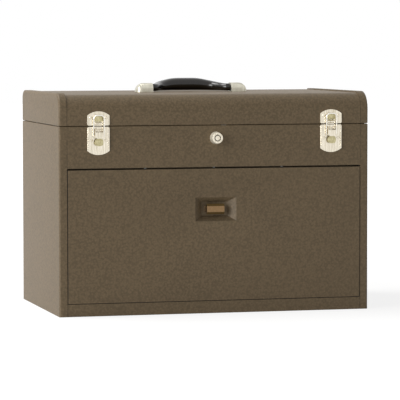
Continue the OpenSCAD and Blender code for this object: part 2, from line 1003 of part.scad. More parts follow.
// Wire loop: legs, rounded top and ends turned in to the lever's cheeks
module latch_bail() {
    lean = atan2(bail_top_o - bail_o, bail_top_z - bail_z);
    l = norm([bail_top_o - bail_o, bail_top_z - bail_z]);
    end_x = lever_w / 2 - cheek_t - 0.6;
    color(nickel)
        translate([0, -bail_o, bail_z])
            rotate([lean, 0, 0]) {
                for (s = [0, 1])
                    mirror([s, 0, 0]) {
                        translate([leg_x, 0, bail_foot_r])
                            cylinder(d = wire_d, h = l - bail_foot_r - bail_top_r);
                        translate([leg_x - bail_top_r, 0, l - bail_top_r])
                            wire_bend(bail_top_r, 0);
                        translate([leg_x - bail_foot_r, 0, bail_foot_r])
                            wire_bend(bail_foot_r, -90);
                        rod_x(end_x, leg_x - bail_foot_r, 0, 0, wire_d);
                    }
                rod_x(-leg_x + bail_top_r, leg_x - bail_top_r, 0, l, wire_d);
            }
}

// Quarter bend of the latch wire in X and Z, from angle a on
module wire_bend(r, a) {
    rotate([90, 0, 0])
        rotate([0, 0, a])
            rotate_extrude(angle = 90)
                translate([r, 0])
                    circle(d = wire_d, $fn = 24);
}

module latch_base_left() {
    at_latch(-1)
        latch_base();
}

module latch_base_right() {
    at_latch(1)
        latch_base();
}

module latch_strike_left() {
    at_latch(-1)
        latch_strike();
}

module latch_strike_right() {
    at_latch(1)
        latch_strike();
}

module latch_lever_left() {
    at_latch(-1)
        latch_lever();
}

module latch_lever_right() {
    at_latch(1)
        latch_lever();
}

module latch_bail_left() {
    at_latch(-1)
        latch_bail();
}

module latch_bail_right() {
    at_latch(1)
        latch_bail();
}

module case_rivets() {
    color(nickel)
        for (s = [-1, 1])
            for (x = [-base_rivet_x, base_rivet_x])
                rivet(s * latch_x + x, face_y - latch_t, seam_h + base_rivet_z, latch_t + sheet);
}

module lid_rivets() {
    color(nickel)
        for (s = [-1, 1]) {
            for (x = [-strike_rivet_x, strike_rivet_x])
                rivet(s * latch_x + x, face_y - strike_t, seam_h + strike_rivet_z, strike_t + sheet);
            for (y = [-cap_rivet_y, cap_rivet_y])
                translate([s * cap_rivet_x, handle_back + y, lid_top - sheet - rivet_head_h]) {
                    cylinder(d = rivet_head_d, h = rivet_head_h);
                    cylinder(d = rivet_d - 2 * run_fit, h = rivet_head_h + sheet + cap_hole_deep - 0.2);
                }
        }
}

// ---------------------------------------------------------------- lock

module lock_body() {
    y1 = face_y + lock_body_b;
    color(nickel)
        difference() {
            union() {
                translate([0, face_y, lock_z])
                    rotate([90, 0, 0])
                        cylinder(d1 = lock_base_d, d2 = lock_d, h = lock_out);
                rod_y(0, lock_z, face_y - eps, y1, thread_d);
            }
            rod_y(0, lock_z, face_y - lock_out - 1, y1 + 1, plug_d + 2 * run_fit);
        }
}

module lock_nut() {
    color(zinc)
        translate([0, face_y + sheet, lock_z])
            rotate([-90, 0, 0])
                difference() {
                    cylinder(d = nut_d, h = nut_t, $fn = 6);
                    translate([0, 0, -1])
                        cylinder(d = thread_d + 2 * run_fit, h = nut_t + 2);
                }
}

// Plug with the ring-shaped keyway and its locating notch
module lock_plug() {
    front = face_y - lock_out + plug_back;
    color(nickel)
        difference() {
            union() {
                rod_y(0, lock_z, front, face_y + plug_end_b, plug_d);
                block([-tang / 2, face_y + plug_end_b - eps, lock_z - tang / 2],
                    [tang / 2, face_y + cam_b + cam_t, lock_z + tang / 2]);
            }
            difference() {
                rod_y(0, lock_z, front - 1, front + key_deep, key_ring_d);
                rod_y(0, lock_z, front - 2, front + key_deep + 1, key_ring_d - 2 * key_ring_w);
            }
            block([-key_notch_w / 2, front - 1, lock_z + key_ring_d / 2 - key_ring_w / 2],
                [key_notch_w / 2, front + key_deep, lock_z + key_ring_d / 2 + key_notch_h]);
        }
}

// Cam on the plug's square tang, with the pin that drives the lock bar
module lock_cam() {
    hole = tang + 2 * run_fit;
    pin_l = bar_b + bar_t - cam_b - cam_t + drive_pin_over;
    color(zinc)
        translate([0, face_y + cam_b, lock_z])
            rotate([90, 0, 180]) {
                linear_extrude(cam_t)
                    difference() {
                        union() {
                            circle(d = cam_hub_d);
                            translate([-cam_w / 2, 0])
                                square([cam_w, cam_reach - cam_w / 2]);
                            translate([0, cam_reach - cam_w / 2])
                                circle(d = cam_w);
                        }
                        square(hole, center = true);
                    }
                translate([-throw_r * cos(45), throw_r * sin(45), cam_t - eps])
                    cylinder(d = drive_pin_d, h = pin_l + eps);
            }
}

module lock_bar() {
    y0 = face_y + bar_b;
    pin_z = lock_z + throw_r * sin(45);
    half = drive_pin_d / 2 + drive_slack;
    color(zinc)
        difference() {
            union() {
                block([-prong_x - bar_end, y0, bar_z0], [prong_x + bar_end, y0 + bar_t, bar_z1]);
                block([-9, y0, bar_z0], [10, y0 + bar_t, lock_z + 9]);
                for (x = [-prong_x, 0, prong_x])
                    block([x - prong_w / 2, y0, header_z - cover_top_gap + 0.6],
                        [x + prong_w / 2, y0 + bar_t, bar_z0 + eps]);
            }
            block([throw_r * cos(45) - half, y0 - 1, pin_z - half],
                [throw_r + half, y0 + bar_t + 1, pin_z + half]);
        }
}

// Bracket inside the lid whose foot lies under the turned cam
module lid_keeper() {
    t = keeper_t;
    top = lid_low + 2 * roll_r + 0.6;
    foot = lock_z - cam_w / 2 - keeper_gap - t;
    color(zinc)
        along_x(keeper_x0, keeper_x0 + keeper_w)
            translate([face_y, 0])
                union() {
                    translate([sheet, top])
                        square([t, keeper_foot]);
                    translate([sheet, top])
                        square([keeper_b + t - sheet, t]);
                    translate([keeper_b, foot])
                        square([t, top + t - foot]);
                    translate([keeper_b, foot])
                        square([cam_b + cam_t + 0.1 - keeper_b, t]);
                }
}

// ---------------------------------------------------------------- cover

// Four-sided taper from the face to the floor of the recess, grown by g all round
module recess(g) {
    hull() {
        block([-recess_w / 2 - g, face_y - 0.5 + g, recess_z - recess_h / 2 - g],
            [recess_w / 2 + g, face_y + g, recess_z + recess_h / 2 + g]);
        block([-recess_floor_w / 2 - g, face_y + recess_deep - 0.1 + g, recess_z - recess_floor_h / 2 - g],
            [recess_floor_w / 2 + g, face_y + recess_deep + g, recess_z + recess_floor_h / 2 + g]);
    }
}

module cover_panel() {
    t = sheet;
    color(paint)
        difference() {
            union() {
                difference() {
                    block([-cover_x, face_y, cover_z0], [cover_x, face_y + cover_t, cover_z1]);
                    block([-cover_x + t, face_y + t, cover_z0 + t],
                        [cover_x - t, face_y + cover_t + 1, cover_z1 - t]);
                }
                intersection() {
                    recess(1);
                    block([-cover_x, face_y, cover_z0], [cover_x, face_y + case_d, cover_z1]);
                }
            }
            recess(0);
            for (x = [-prong_x, 0, prong_x])
                block([x - prong_w / 2 - prong_wall, face_y + bar_b - prong_wall, cover_z1 - t - 1],
                    [x + prong_w / 2 + prong_wall, face_y + bar_b + bar_t + prong_wall, cover_z1 + 1]);
        }
}

// Strap with sloped flanks on two feet that are welded to the floor of the recess
module cover_pull() {
    y0 = face_y + strap_b;
    y1 = face_y + recess_deep;
    x1 = strap_l / 2;
    w = strap_w / 2;
    color(bronze) {
        translate([0, y0, recess_z])
            along_x(-x1, x1)
                difference() {
                    strap_section(w);
                    translate([strap_t, 0])
                        strap_section(w);
                }
        for (s = [0, 1])
            mirror([s, 0, 0]) {
                block([x1 - strap_t, y0, recess_z - w], [x1, y1, recess_z + w]);
                block([x1 - strap_t, y1 - strap_t, recess_z - w], [x1 + strap_foot, y1, recess_z + w]);
            }
    }
}

// Flat of half width w with its two flanks sloping back, in Y and Z
module strap_section(w) {
    polygon([[0, -w], [0, w], [strap_rise, w + strap_flank], [strap_rise + strap_t, w + strap_flank],
        [strap_rise + strap_t, -w - strap_flank], [strap_rise, -w - strap_flank]]);
}

// ---------------------------------------------------------------- drawers

// Folded rail on the drawer's side that rides in the case channel
module drawer_rail(x, dir, z) {
    h = runner_h - 2 * runner_t - 2 * runner_gap;
    w = runner_depth + box_gap - runner_t - rail_play;
    translate([x, runner_y + rail_set, z + runner_rise - h / 2])
        mirror([dir < 0 ? 1 : 0, 0, 0])
            difference() {
                translate([-eps, 0, 0])
                    cube([w, drawer_len - rail_short, h]);
                translate([0, -1, runner_t])
                    cube([w - runner_t, drawer_len, h - 2 * runner_t]);
            }
}

module drawer_box(i) {
    d = DRAWERS[i];
    t = drawer_sheet;
    z0 = d[4] + box_lift;
    z1 = d[4] + d[5] - box_drop;
    y1 = front_y + drawer_len;
    color(paint) {
        difference() {
            block([d[0], front_y, d[4]], [d[1], front_y + front_lip, d[4] + d[5]]);
            block([d[0] + t, front_y + t, d[4] + t],
                [d[1] - t, front_y + front_lip + 1, d[4] + d[5] - t]);
        }
        difference() {
            block([d[2], front_y + t / 2, z0], [d[3], y1, z1]);
            block([d[2] + t, front_y + t, z0 + t], [d[3] - t, y1 - t, z1 + 1]);
        }
        // hems along the top edges
        for (x = [d[2], d[3] - 2 * t])
            block([x, front_y + front_lip, z1 - 5], [x + 2 * t, y1, z1]);
        block([d[2], y1 - 2 * t, z1 - 5], [d[3], y1, z1]);
        drawer_rail(d[2] + eps, -1, d[4]);
        drawer_rail(d[3] - eps, 1, d[4]);
    }
}

// Quarter-round pull, open at the bottom, with an ear on each side
module drawer_pull(i) {
    d = DRAWERS[i];
    mid = (d[0] + d[1]) / 2;
    z = i == 4 ? d[4] + d[5] - deep_pull_drop : d[4] + d[5] / 2 - pull_out / 2;
    color(nickel)
        for (k = d[6])
            translate([mid + k * wide_pull_x, front_y, z]) {
                along_x(-pull_l / 2, pull_l / 2)
                    difference() {
                        union() {
                            translate([-pull_t, 0])
                                square([pull_t, pull_out + pull_flange]);
                            pull_quarter(pull_out, 0);
                        }
                        translate([0, -1])
                            pull_quarter(pull_out - pull_t, pull_t);
                        pull_quarter(pull_out - pull_t, pull_t);
                    }
                for (s = [0, 1])
                    mirror([s, 0, 0]) {
                        block([pull_l / 2 - eps, -pull_t, 0],
                            [pull_l / 2 + pull_ear, 0, pull_out + pull_flange]);
                        translate([pull_l / 2 + pull_ear / 2, -pull_t, pull_out / 2])
                            rotate([90, 0, 0])
                                cylinder(d1 = spot_d, d2 = spot_d - 1, h = pull_t);
                    }
            }
}

// Quarter disc in front of the drawer, in Y and Z, cut off at y = -back
module pull_quarter(r, back) {
    intersection() {
        circle(r, $fn = 64);
        translate([-r - 1, 0])
            square([r + 1 - back, r + 1]);
    }
}

module drawer_liner(i) {
    d = DRAWERS[i];
    t = drawer_sheet;
    z0 = d[4] + box_lift + t;
    color(felt)
        block([d[2] + t + 0.5, front_y + t + 0.5, z0],
            [d[3] - t - 0.5, front_y + drawer_len - t - 0.5, z0 + felt_t]);
}

// ---------------------------------------------------------------- handle

// Rounded cap outline, shrunk by g
module cap_solid(g) {
    side_r = cap_side_r - g;
    end_r = cap_end_r - g;
    plan_r = cap_plan_r - g;
    l = cap_l - g;
    h = cap_h - g;
    w = cap_w - 2 * g;
    intersection() {
        // side view
        rotate([90, 0, 0])
            linear_extrude(cap_w + 2, center = true)
                union() {
                    square([l - side_r, h]);
                    square([l, h - side_r]);
                    translate([l - side_r, h - side_r])
                        circle(side_r);
                }
        // end view
        along_x(-1, cap_l + 1)
            union() {
                translate([-w / 2 + end_r, 0])
                    square([w - 2 * end_r, h]);
                translate([-w / 2, 0])
                    square([w, h - end_r]);
                for (s = [-1, 1])
                    translate([s * (w / 2 - end_r), h - end_r])
                        circle(end_r);
            }
        // plan view
        linear_extrude(cap_h + 1)
            union() {
                translate([-1, -w / 2])
                    square([l - plan_r + 1, w]);
                translate([l - plan_r, -w / 2 + plan_r])
                    square([plan_r, w - 2 * plan_r]);
                for (s = [-1, 1])
                    translate([l - plan_r, s * (w / 2 - plan_r)])
                        circle(plan_r);
            }
    }
}

module handle_cap() {
    color(nickel)
        translate([cap_x, handle_back, lid_top])
            difference() {
                union() {
                    difference() {
                        cap_solid(0);
                        intersection() {
                            translate([0, 0, -eps])
                                cap_solid(cap_wall);
                            translate([cap_front, -cap_w, -1])
                                cube([cap_l, 2 * cap_w, 2 * cap_h]);
                        }
                    }
                    intersection() {
                        cap_solid(cap_wall / 2);
                        for (y = [-cap_rivet_y, cap_rivet_y])
                            translate([cap_rivet_x - cap_x, y, 0])
                                cylinder(d = cap_stud_d, h = cap_h);
                    }
                }
                for (y = [-cap_rivet_y, cap_rivet_y])
                    translate([cap_rivet_x - cap_x, y, -1])
                        cylinder(d = rivet_d, h = cap_hole_deep + 1);
                rod_x(-1, cap_front + 1, 0, pivot_z - lid_top, pivot_d + 2 * pivot_fit);
            }
}

module handle_cap_left() {
    mirror([1, 0, 0])
        handle_cap();
}

module handle_cap_right() {
    handle_cap();
}

// Stations of the grip from its collar to its middle: place and half sizes
GRIP = [
    [[cap_x - 2.4, 0, 0], [2, 6.1, 6.1]],
    [[cap_x - 8, 0.12 * grip_reach, 0.6], [5, 6.2, 6]],
    [[cap_x - 14, 0.52 * grip_reach, 2.6], [8.5, 8.6, 7.4]],
    [[cap_x - 26, 0.85 * grip_reach, 4.6], [12, 11.6, 9.2]],
    [[20, grip_reach, 6], [14, 13, 10.4]]];
stub_d = 4;
stub_l = 6;

module grip_blob(k) {
    translate(GRIP[k][0])
        scale(GRIP[k][1])
            sphere(r = 1, $fn = 20);
}

module handle_grip() {
    last = len(GRIP) - 1;
    color(black)
        translate([0, handle_back, pivot_z])
            difference() {
                union() {
                    for (s = [0, 1])
                        mirror([s, 0, 0])
                            for (k = [0:last - 1])
                                hull() {
                                    grip_blob(k);
                                    grip_blob(k + 1);
                                }
                    hull() {
                        grip_blob(last);
                        mirror([1, 0, 0])
                            grip_blob(last);
                    }
                }
                for (s = [0, 1])
                    mirror([s, 0, 0])
                        rod_x(cap_x - stub_l - 0.1, cap_x + 1, 0, 0, stub_d + 0.2);
            }
}

// Steel pivots moulded into the grip's collars and headed inside the caps
module handle_pivots() {
    color(zinc)
        translate([0, handle_back, pivot_z])
            for (s = [0, 1])
                mirror([s, 0, 0]) {
                    rod_x(cap_x - stub_l, cap_x, 0, 0, stub_d);
                    rod_x(cap_x - 0.3, cap_x + 6, 0, 0, pivot_d);
                    rod_x(cap_x + 3.2, cap_x + 4.6, 0, 0, pivot_d + 3);
                }
}

// ---------------------------------------------------------------- assembly

case_shell();
front_header();
bottom_rail();
till_floor();
till_liner();
drawer_shelf();
divider_left();
divider_right();
side_runners();
hinge_case_leaf();
hinge_pin();
lock_body();
lock_nut();
latch_base_left();
latch_base_right();
stay_quadrant();
case_rivets();
lid_shell();
lid_end_left();
lid_end_right();
hinge_lid_leaf();
latch_strike_left();
latch_strike_right();
handle_cap_left();
handle_cap_right();
lid_keeper();
lid_rivets();
handle_grip();
handle_pivots();
latch_lever_left();
latch_lever_right();
latch_bail_left();
latch_bail_right();
lock_plug();
lock_cam();
lock_bar();
cover_panel();
cover_pull();
stay_arm();
drawer_box(0);  // drawer_1_box
drawer_box(1);  // drawer_2_box
drawer_box(2);  // drawer_3_box
drawer_box(3);  // drawer_4_box
drawer_box(4);  // drawer_5_box
drawer_box(5);  // drawer_6_box
drawer_box(6);  // drawer_7_box
drawer_pull(0);  // drawer_1_pull
drawer_pull(1);  // drawer_2_pull
drawer_pull(2);  // drawer_3_pull
drawer_pull(3);  // drawer_4_pull
drawer_pull(4);  // drawer_5_pull
drawer_pull(5);  // drawer_6_pull
drawer_pull(6);  // drawer_7_pull
drawer_liner(0);  // drawer_1_liner
drawer_liner(1);  // drawer_2_liner
drawer_liner(2);  // drawer_3_liner
drawer_liner(3);  // drawer_4_liner
drawer_liner(4);  // drawer_5_liner
drawer_liner(5);  // drawer_6_liner
drawer_liner(6);  // drawer_7_liner
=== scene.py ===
# %% [markdown]
# # A portable tool chest
#
# The chest is folded and spot-welded steel sheet under a baked wrinkle enamel, with nickel plated
# draw latches, a tubular lock and a black moulded handle. Its construction comes packed as a
# frame of named pieces, each at its place. This lesson gives every piece its finish, softens the
# folded edges, models the handle grip and sets up a small studio.

# %% Load the frame
import json
import math
import bmesh
import bpy
from mathutils import Matrix, Vector


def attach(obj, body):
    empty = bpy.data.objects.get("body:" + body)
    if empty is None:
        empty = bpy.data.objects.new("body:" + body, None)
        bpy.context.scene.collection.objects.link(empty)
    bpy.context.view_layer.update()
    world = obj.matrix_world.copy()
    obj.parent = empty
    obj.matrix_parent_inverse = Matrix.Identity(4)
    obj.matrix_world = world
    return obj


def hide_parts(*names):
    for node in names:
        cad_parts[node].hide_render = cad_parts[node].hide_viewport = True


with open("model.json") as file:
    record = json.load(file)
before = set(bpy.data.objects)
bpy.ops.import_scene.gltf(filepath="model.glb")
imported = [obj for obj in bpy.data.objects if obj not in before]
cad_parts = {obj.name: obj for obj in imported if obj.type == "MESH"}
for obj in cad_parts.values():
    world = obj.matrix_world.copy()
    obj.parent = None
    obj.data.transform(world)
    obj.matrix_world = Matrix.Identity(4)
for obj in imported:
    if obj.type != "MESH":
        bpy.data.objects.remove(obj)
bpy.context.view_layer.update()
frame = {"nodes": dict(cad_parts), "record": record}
NODES = frame["nodes"]
BODY_OF = {node: body for body, members in frame["record"]["behaviour"]["bodies"].items()
           for node in members}
SLOT_OF = {part["node"]: part["material_slot"] for part in frame["record"]["subparts"]}
MM = 0.001
scene = bpy.context.scene


def box_corners(points):
    """The low and the high corner of the box round some points."""
    return [Vector([side(point[i] for point in points) for i in range(3)]) for side in (min, max)]


def bounds_mm(node):
    """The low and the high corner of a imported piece, in millimetres."""
    return box_corners([vertex.co / MM for vertex in NODES[node].data.vertices])


# %% [markdown]
# ## Camera
#
# A long lens from the front, a little to the left and just above the middle of the chest, keeps
# the verticals nearly parallel. The camera is placed by its target, its turn round the chest and
# its distance, because those three are what one sets with a tripod.

# %% Camera
IMAGE_PX = 400
SENSOR_MM = 36.0
FOCAL_PX = 2647.0
TARGET = Vector((-26.3, -152.7, 182.0)) * MM
TURN = math.radians(-14.63)
RISE = math.radians(3.65)
ROLL = math.radians(-0.06)
DISTANCE_M = 4.226
CLIP_END_M = 100.0

back = Vector((math.sin(TURN) * math.cos(RISE), -math.cos(TURN) * math.cos(RISE), math.sin(RISE)))
camera_data = bpy.data.cameras.new("camera")
camera_data.sensor_width = SENSOR_MM
camera_data.lens = FOCAL_PX / IMAGE_PX * SENSOR_MM
camera_data.clip_end = CLIP_END_M
camera = bpy.data.objects.new("camera", camera_data)
scene.collection.objects.link(camera)
camera.matrix_world = (Matrix.Translation(TARGET + DISTANCE_M * back)
                       @ back.to_track_quat("Z", "Y").to_matrix().to_4x4()
                       @ Matrix.Rotation(ROLL, 4, "Z"))
scene.camera = camera
print("lens", round(camera_data.lens, 1), "mm at", [round(c, 3) for c in camera.location])

# %% [markdown]
# ## Helpers for materials
#
# Every finish is a small network of nodes. One function turns the hex colour that a maker would
# write into the linear values that Blender mixes, and one function adds a node with its settings
# and links, so that each material below reads as a short recipe.

# %% Material helpers
def colour(hex_code):
    """sRGB hex to linear RGBA, by the curve of the sRGB standard."""
    channels = [int(hex_code[i:i + 2], 16) / 255 for i in (1, 3, 5)]
    linear = [c / 12.92 if c <= 0.04045 else ((c + 0.055) / 1.055) ** 2.4 for c in channels]
    return (*linear, 1.0)


def add(tree, kind, inputs=None, **settings):
    """Adds a node; an input's value is a number, a colour or another node's output."""
    made = tree.nodes.new(kind)
    for key, value in settings.items():
        setattr(made, key, value)
    for key, value in (inputs or {}).items():
        if isinstance(value, bpy.types.NodeSocket):
            tree.links.new(value, made.inputs[key])
        else:
            made.inputs[key].default_value = value
    return made


def per_metre(size_mm):
    """Texture scale for a pattern whose grains are size_mm across."""
    return 1.0 / (size_mm * MM)


# Nearly all values of a noise texture lie between these two.
NOISE_LOW, NOISE_HIGH = 0.3, 0.7


def new_material(name):
    """An empty material with its shader, and the place on the piece that patterns read."""
    material = bpy.data.materials.new(name)
    material.use_nodes = True
    tree = material.node_tree
    tree.nodes.clear()
    shader = add(tree, "ShaderNodeBsdfPrincipled")
    output = add(tree, "ShaderNodeOutputMaterial")
    tree.links.new(shader.outputs["BSDF"], output.inputs["Surface"])
    place = add(tree, "ShaderNodeTexCoord").outputs["Object"]
    return material, tree, shader, place


def ramp(tree, factor, low, high, from_value, to_value):
    """Mix of two colours as the factor goes from from_value to to_value."""
    spread = add(tree, "ShaderNodeMapRange",
                 {"Value": factor, "From Min": from_value, "From Max": to_value})
    mixed = add(tree, "ShaderNodeMix", data_type="RGBA")
    tree.links.new(spread.outputs["Result"], mixed.inputs["Factor"])
    mixed.inputs["A"].default_value = low
    mixed.inputs["B"].default_value = high
    return mixed.outputs["Result"]


print("#808080 is", [round(c, 3) for c in colour("#808080")[:3]], "in linear light")

# %% [markdown]
# ## Wrinkle enamel
#
# Tool chests get a baked enamel that shrinks as it dries and pulls itself into fine wrinkles
# under a millimetre apart. That hides scratches and gives the brown a soft, slightly sparkling
# grain. The wrinkles are drawn a little coarser than real, so that they show at this distance,
# as a bump and as a small change of tone, with a broad, faint unevenness over it. A near black
# copy goes on the narrow bevels of the case and lid. It is painted shade, so that the gaps between
# the sheets read dark.

# %% Wrinkle enamel
CELL_PER_GRAIN = 1.3
TONE_FROM, TONE_TO = -0.15, 0.45
DRIFT_MM = 90.0
DRIFT_SHARE = 0.025
WRINKLE_STRENGTH = 0.5
ENAMEL_ROUGHNESS = 0.5
ENAMEL_GLOSS = 0.3


def wrinkle_enamel(name, low, high, grain_mm, bump_mm):
    """A tone between low and high, with wrinkles grain_mm apart and bump_mm deep."""
    material, tree, shader, place = new_material(name)
    grain = add(tree, "ShaderNodeTexNoise", {"Vector": place, "Scale": per_metre(grain_mm),
                                             "Detail": 4.0, "Roughness": 0.6})
    cells = add(tree, "ShaderNodeTexVoronoi",
                {"Vector": place, "Scale": per_metre(CELL_PER_GRAIN * grain_mm)},
                feature="SMOOTH_F1")
    height = add(tree, "ShaderNodeMath", {0: grain.outputs["Fac"], 1: cells.outputs["Distance"]},
                 operation="SUBTRACT")
    tone = ramp(tree, height.outputs[0], colour(low), colour(high), TONE_FROM, TONE_TO)
    drift = add(tree, "ShaderNodeTexNoise", {"Vector": place, "Scale": per_metre(DRIFT_MM),
                                             "Detail": 1.0})
    shade = add(tree, "ShaderNodeMapRange",
                {"Value": drift.outputs["Fac"], "From Min": NOISE_LOW, "From Max": NOISE_HIGH,
                 "To Min": 1.0 - DRIFT_SHARE, "To Max": 1.0 + DRIFT_SHARE})
    uneven = add(tree, "ShaderNodeVectorMath", {0: tone, 1: (1.0, 1.0, 1.0)}, operation="MULTIPLY")
    tree.links.new(shade.outputs["Result"], uneven.inputs[1])
    bump = add(tree, "ShaderNodeBump", {"Height": height.outputs[0], "Strength": WRINKLE_STRENGTH,
                                        "Distance": bump_mm * MM})
    tree.links.new(uneven.outputs[0], shader.inputs["Base Color"])
    tree.links.new(bump.outputs["Normal"], shader.inputs["Normal"])
    shader.inputs["Roughness"].default_value = ENAMEL_ROUGHNESS
    shader.inputs["Specular IOR Level"].default_value = ENAMEL_GLOSS
    return material


enamel = wrinkle_enamel("brown_wrinkle_enamel", "#61533e", "#75644c", grain_mm=2.4, bump_mm=0.3)
drawer_enamel = wrinkle_enamel("brown_drawer_enamel", "#5f513c", "#6f5f48",
                               grain_mm=2.2, bump_mm=0.3)
# Painted shade: a near black enamel for the bevel faces of the case and lid, so that the gaps
# between the sheets read dark.
edge_shade_enamel = wrinkle_enamel("painted_gap_shade_on_edges", "#221c15", "#2e261c", grain_mm=1.0, bump_mm=0.1)
print("enamels", [made.name for made in (enamel, drawer_enamel, edge_shade_enamel)])

# %% [markdown]
# ## Enamel of the cover's flanges
#
# The flanges that are turned back round the cover carry painted shade. They are dark at the edge,
# so that the gap round the cover reads dark, and brown behind it. A second piece of sheet for the
# rim would add a seam that the real cover doesn't have, so the brown enamel is copied, and the copy
# goes over from the painted dark to brown with the depth behind the cover's face.

# %% Enamel of the cover's flanges
FLANGE_DARK = 4.0
FLANGE_FADE = 4.0
rim_shade_enamel = enamel.copy()
rim_shade_enamel.name = "brown_enamel_with_painted_rim_shade"
tree = rim_shade_enamel.node_tree
shader = next(node for node in tree.nodes if node.type == "BSDF_PRINCIPLED")
brown = shader.inputs["Base Color"].links[0].from_socket
place = add(tree, "ShaderNodeTexCoord").outputs["Object"]
depth = add(tree, "ShaderNodeSeparateXYZ", {"Vector": place}).outputs["Y"]
front = bounds_mm("cover_panel")[0].y
behind = add(tree, "ShaderNodeMapRange", {"Value": depth, "From Min": (front + FLANGE_DARK) * MM,
                                          "From Max": (front + FLANGE_DARK + FLANGE_FADE) * MM})
faded = add(tree, "ShaderNodeMix", data_type="RGBA")
tree.links.new(behind.outputs["Result"], faded.inputs["Factor"])
# The painted shade of the gap round the cover, near the cover's face.
faded.inputs["A"].default_value = colour("#28211a")
tree.links.new(brown, faded.inputs["B"])
tree.links.new(faded.outputs["Result"], shader.inputs["Base Color"])
print("dark to", round(front + FLANGE_DARK, 1), "mm, brown from",
      round(front + FLANGE_DARK + FLANGE_FADE, 1), "mm")

# %% [markdown]
# ## Plated steel
#
# Nickel plate on pressed steel is a warm, pale mirror. The strip was rolled before it was
# pressed, so its haze runs in fine upright streaks. Zinc plate is greyer and duller, with faint
# round crystals. The duller olive nickel of the latches' hooks and finger tabs is a painted darker
# reflection, and the near black steel of the lock's keyway is painted shade. All are metals, so
# their colour is the colour of their reflection, and the haze is in the roughness. The streaks are
# drawn wider than the rolling marks of real strip, which are too fine to show.

# %% Plated steel
HAZE_FROM, HAZE_TO = 0.3, 0.65
ROUGH_FROM, ROUGH_TO = 0.25, 0.75
HAZE_STRENGTH = 0.2


def plated(name, tint, dark, rough_low, rough_high, grain_mm, streak_mm, bump_mm):
    """A metal whose haze is grain_mm wide, streak_mm tall and bump_mm deep."""
    material, tree, shader, place = new_material(name)
    grains = (per_metre(grain_mm), per_metre(grain_mm), per_metre(streak_mm))
    rolled = add(tree, "ShaderNodeVectorMath", {0: place, 1: grains}, operation="MULTIPLY")
    haze = add(tree, "ShaderNodeTexNoise", {"Vector": rolled.outputs[0], "Scale": 1.0,
                                            "Detail": 3.0, "Roughness": 0.6})
    tone = ramp(tree, haze.outputs["Fac"], colour(dark), colour(tint), HAZE_FROM, HAZE_TO)
    rough = add(tree, "ShaderNodeMapRange",
                {"Value": haze.outputs["Fac"], "From Min": ROUGH_FROM, "From Max": ROUGH_TO,
                 "To Min": rough_low, "To Max": rough_high})
    bump = add(tree, "ShaderNodeBump", {"Height": haze.outputs["Fac"], "Strength": HAZE_STRENGTH,
                                        "Distance": bump_mm * MM})
    tree.links.new(tone, shader.inputs["Base Color"])
    tree.links.new(rough.outputs["Result"], shader.inputs["Roughness"])
    tree.links.new(bump.outputs["Normal"], shader.inputs["Normal"])
    shader.inputs["Metallic"].default_value = 1.0
    return material


# Each line: name, tint, dark tint, least and most roughness, then grain, streak and bump in mm.
nickel = plated("nickel_plate", "#efe7d6", "#c6bca6", 0.14, 0.3, 1.4, 26.0, 0.05)
bright_nickel = plated("bright_nickel_wire", "#f3f0e8", "#dedad0", 0.1, 0.18, 1.2, 1.2, 0.02)
# Painted darker reflection: a duller olive nickel for the hooks and finger tabs. It stands for the
# darker room that the plate would show there.
reflection_painted_nickel = plated("nickel_with_painted_dark_reflection", "#cfc69f", "#aca279", 0.3, 0.45, 2.2, 5.0, 0.04)
tumbled_nickel = plated("tumbled_nickel_plate", "#efe9da", "#d8d1c0", 0.6, 0.75, 1.2, 1.2, 0.05)
cast_nickel = plated("cast_nickel_plate", "#d3cfbf", "#c2beae", 0.28, 0.38, 6.0, 6.0, 0.02)
zinc = plated("zinc_plate", "#c6c7c5", "#a3a4a2", 0.38, 0.6, 7.0, 7.0, 0.08)
# Painted shade: a near black steel for the deep ring of the keyway.
painted_keyway_shade = plated("painted_keyway_shade", "#3a3632", "#1c1a18", 0.45, 0.6, 1.0, 1.0, 0.03)
print("plates", [made.name for made in (nickel, bright_nickel, reflection_painted_nickel, tumbled_nickel,
                                        cast_nickel, zinc, painted_keyway_shade)])

# %% [markdown]
# ## Black moulded plastic
#
# The grip is moulded in black plastic and polished by the die, so it is nearly a mirror with a
# clear edge to its highlights. Hands leave a very fine unevenness, which breaks the highlight up.

# %% Black moulded plastic
HAND_WEAR_MM = 3.0
PLASTIC_ROUGH_LOW, PLASTIC_ROUGH_HIGH = 0.1, 0.18
PLASTIC_GLOSS = 0.5


def moulded_black():
    material, tree, shader, place = new_material("black_moulded_plastic")
    wear = add(tree, "ShaderNodeTexNoise", {"Vector": place, "Scale": per_metre(HAND_WEAR_MM),
                                            "Detail": 4.0})
    tone = ramp(tree, wear.outputs["Fac"], colour("#0e0a05"), colour("#18120a"),
                NOISE_LOW, NOISE_HIGH)
    rough = add(tree, "ShaderNodeMapRange",
                {"Value": wear.outputs["Fac"], "From Min": NOISE_LOW, "From Max": NOISE_HIGH,
                 "To Min": PLASTIC_ROUGH_LOW, "To Max": PLASTIC_ROUGH_HIGH})
    tree.links.new(tone, shader.inputs["Base Color"])
    tree.links.new(rough.outputs["Result"], shader.inputs["Roughness"])
    shader.inputs["Specular IOR Level"].default_value = PLASTIC_GLOSS
    return material


black_plastic = moulded_black()
print("plastic", black_plastic.name)

# %% [markdown]
# ## Felt
#
# Drawers and till are lined with pressed wool felt. Its fibres lie in all directions, so the
# colour is mottled over one or two millimetres and the surface has no highlight, only the pale
# bloom that fine fibres give at a low angle.

# %% Felt
FIBRE_MM = 1.2
NAP_MM = 0.6
NAP_STRENGTH = 0.6
FELT_ROUGHNESS = 0.95
FELT_SHEEN = 0.5


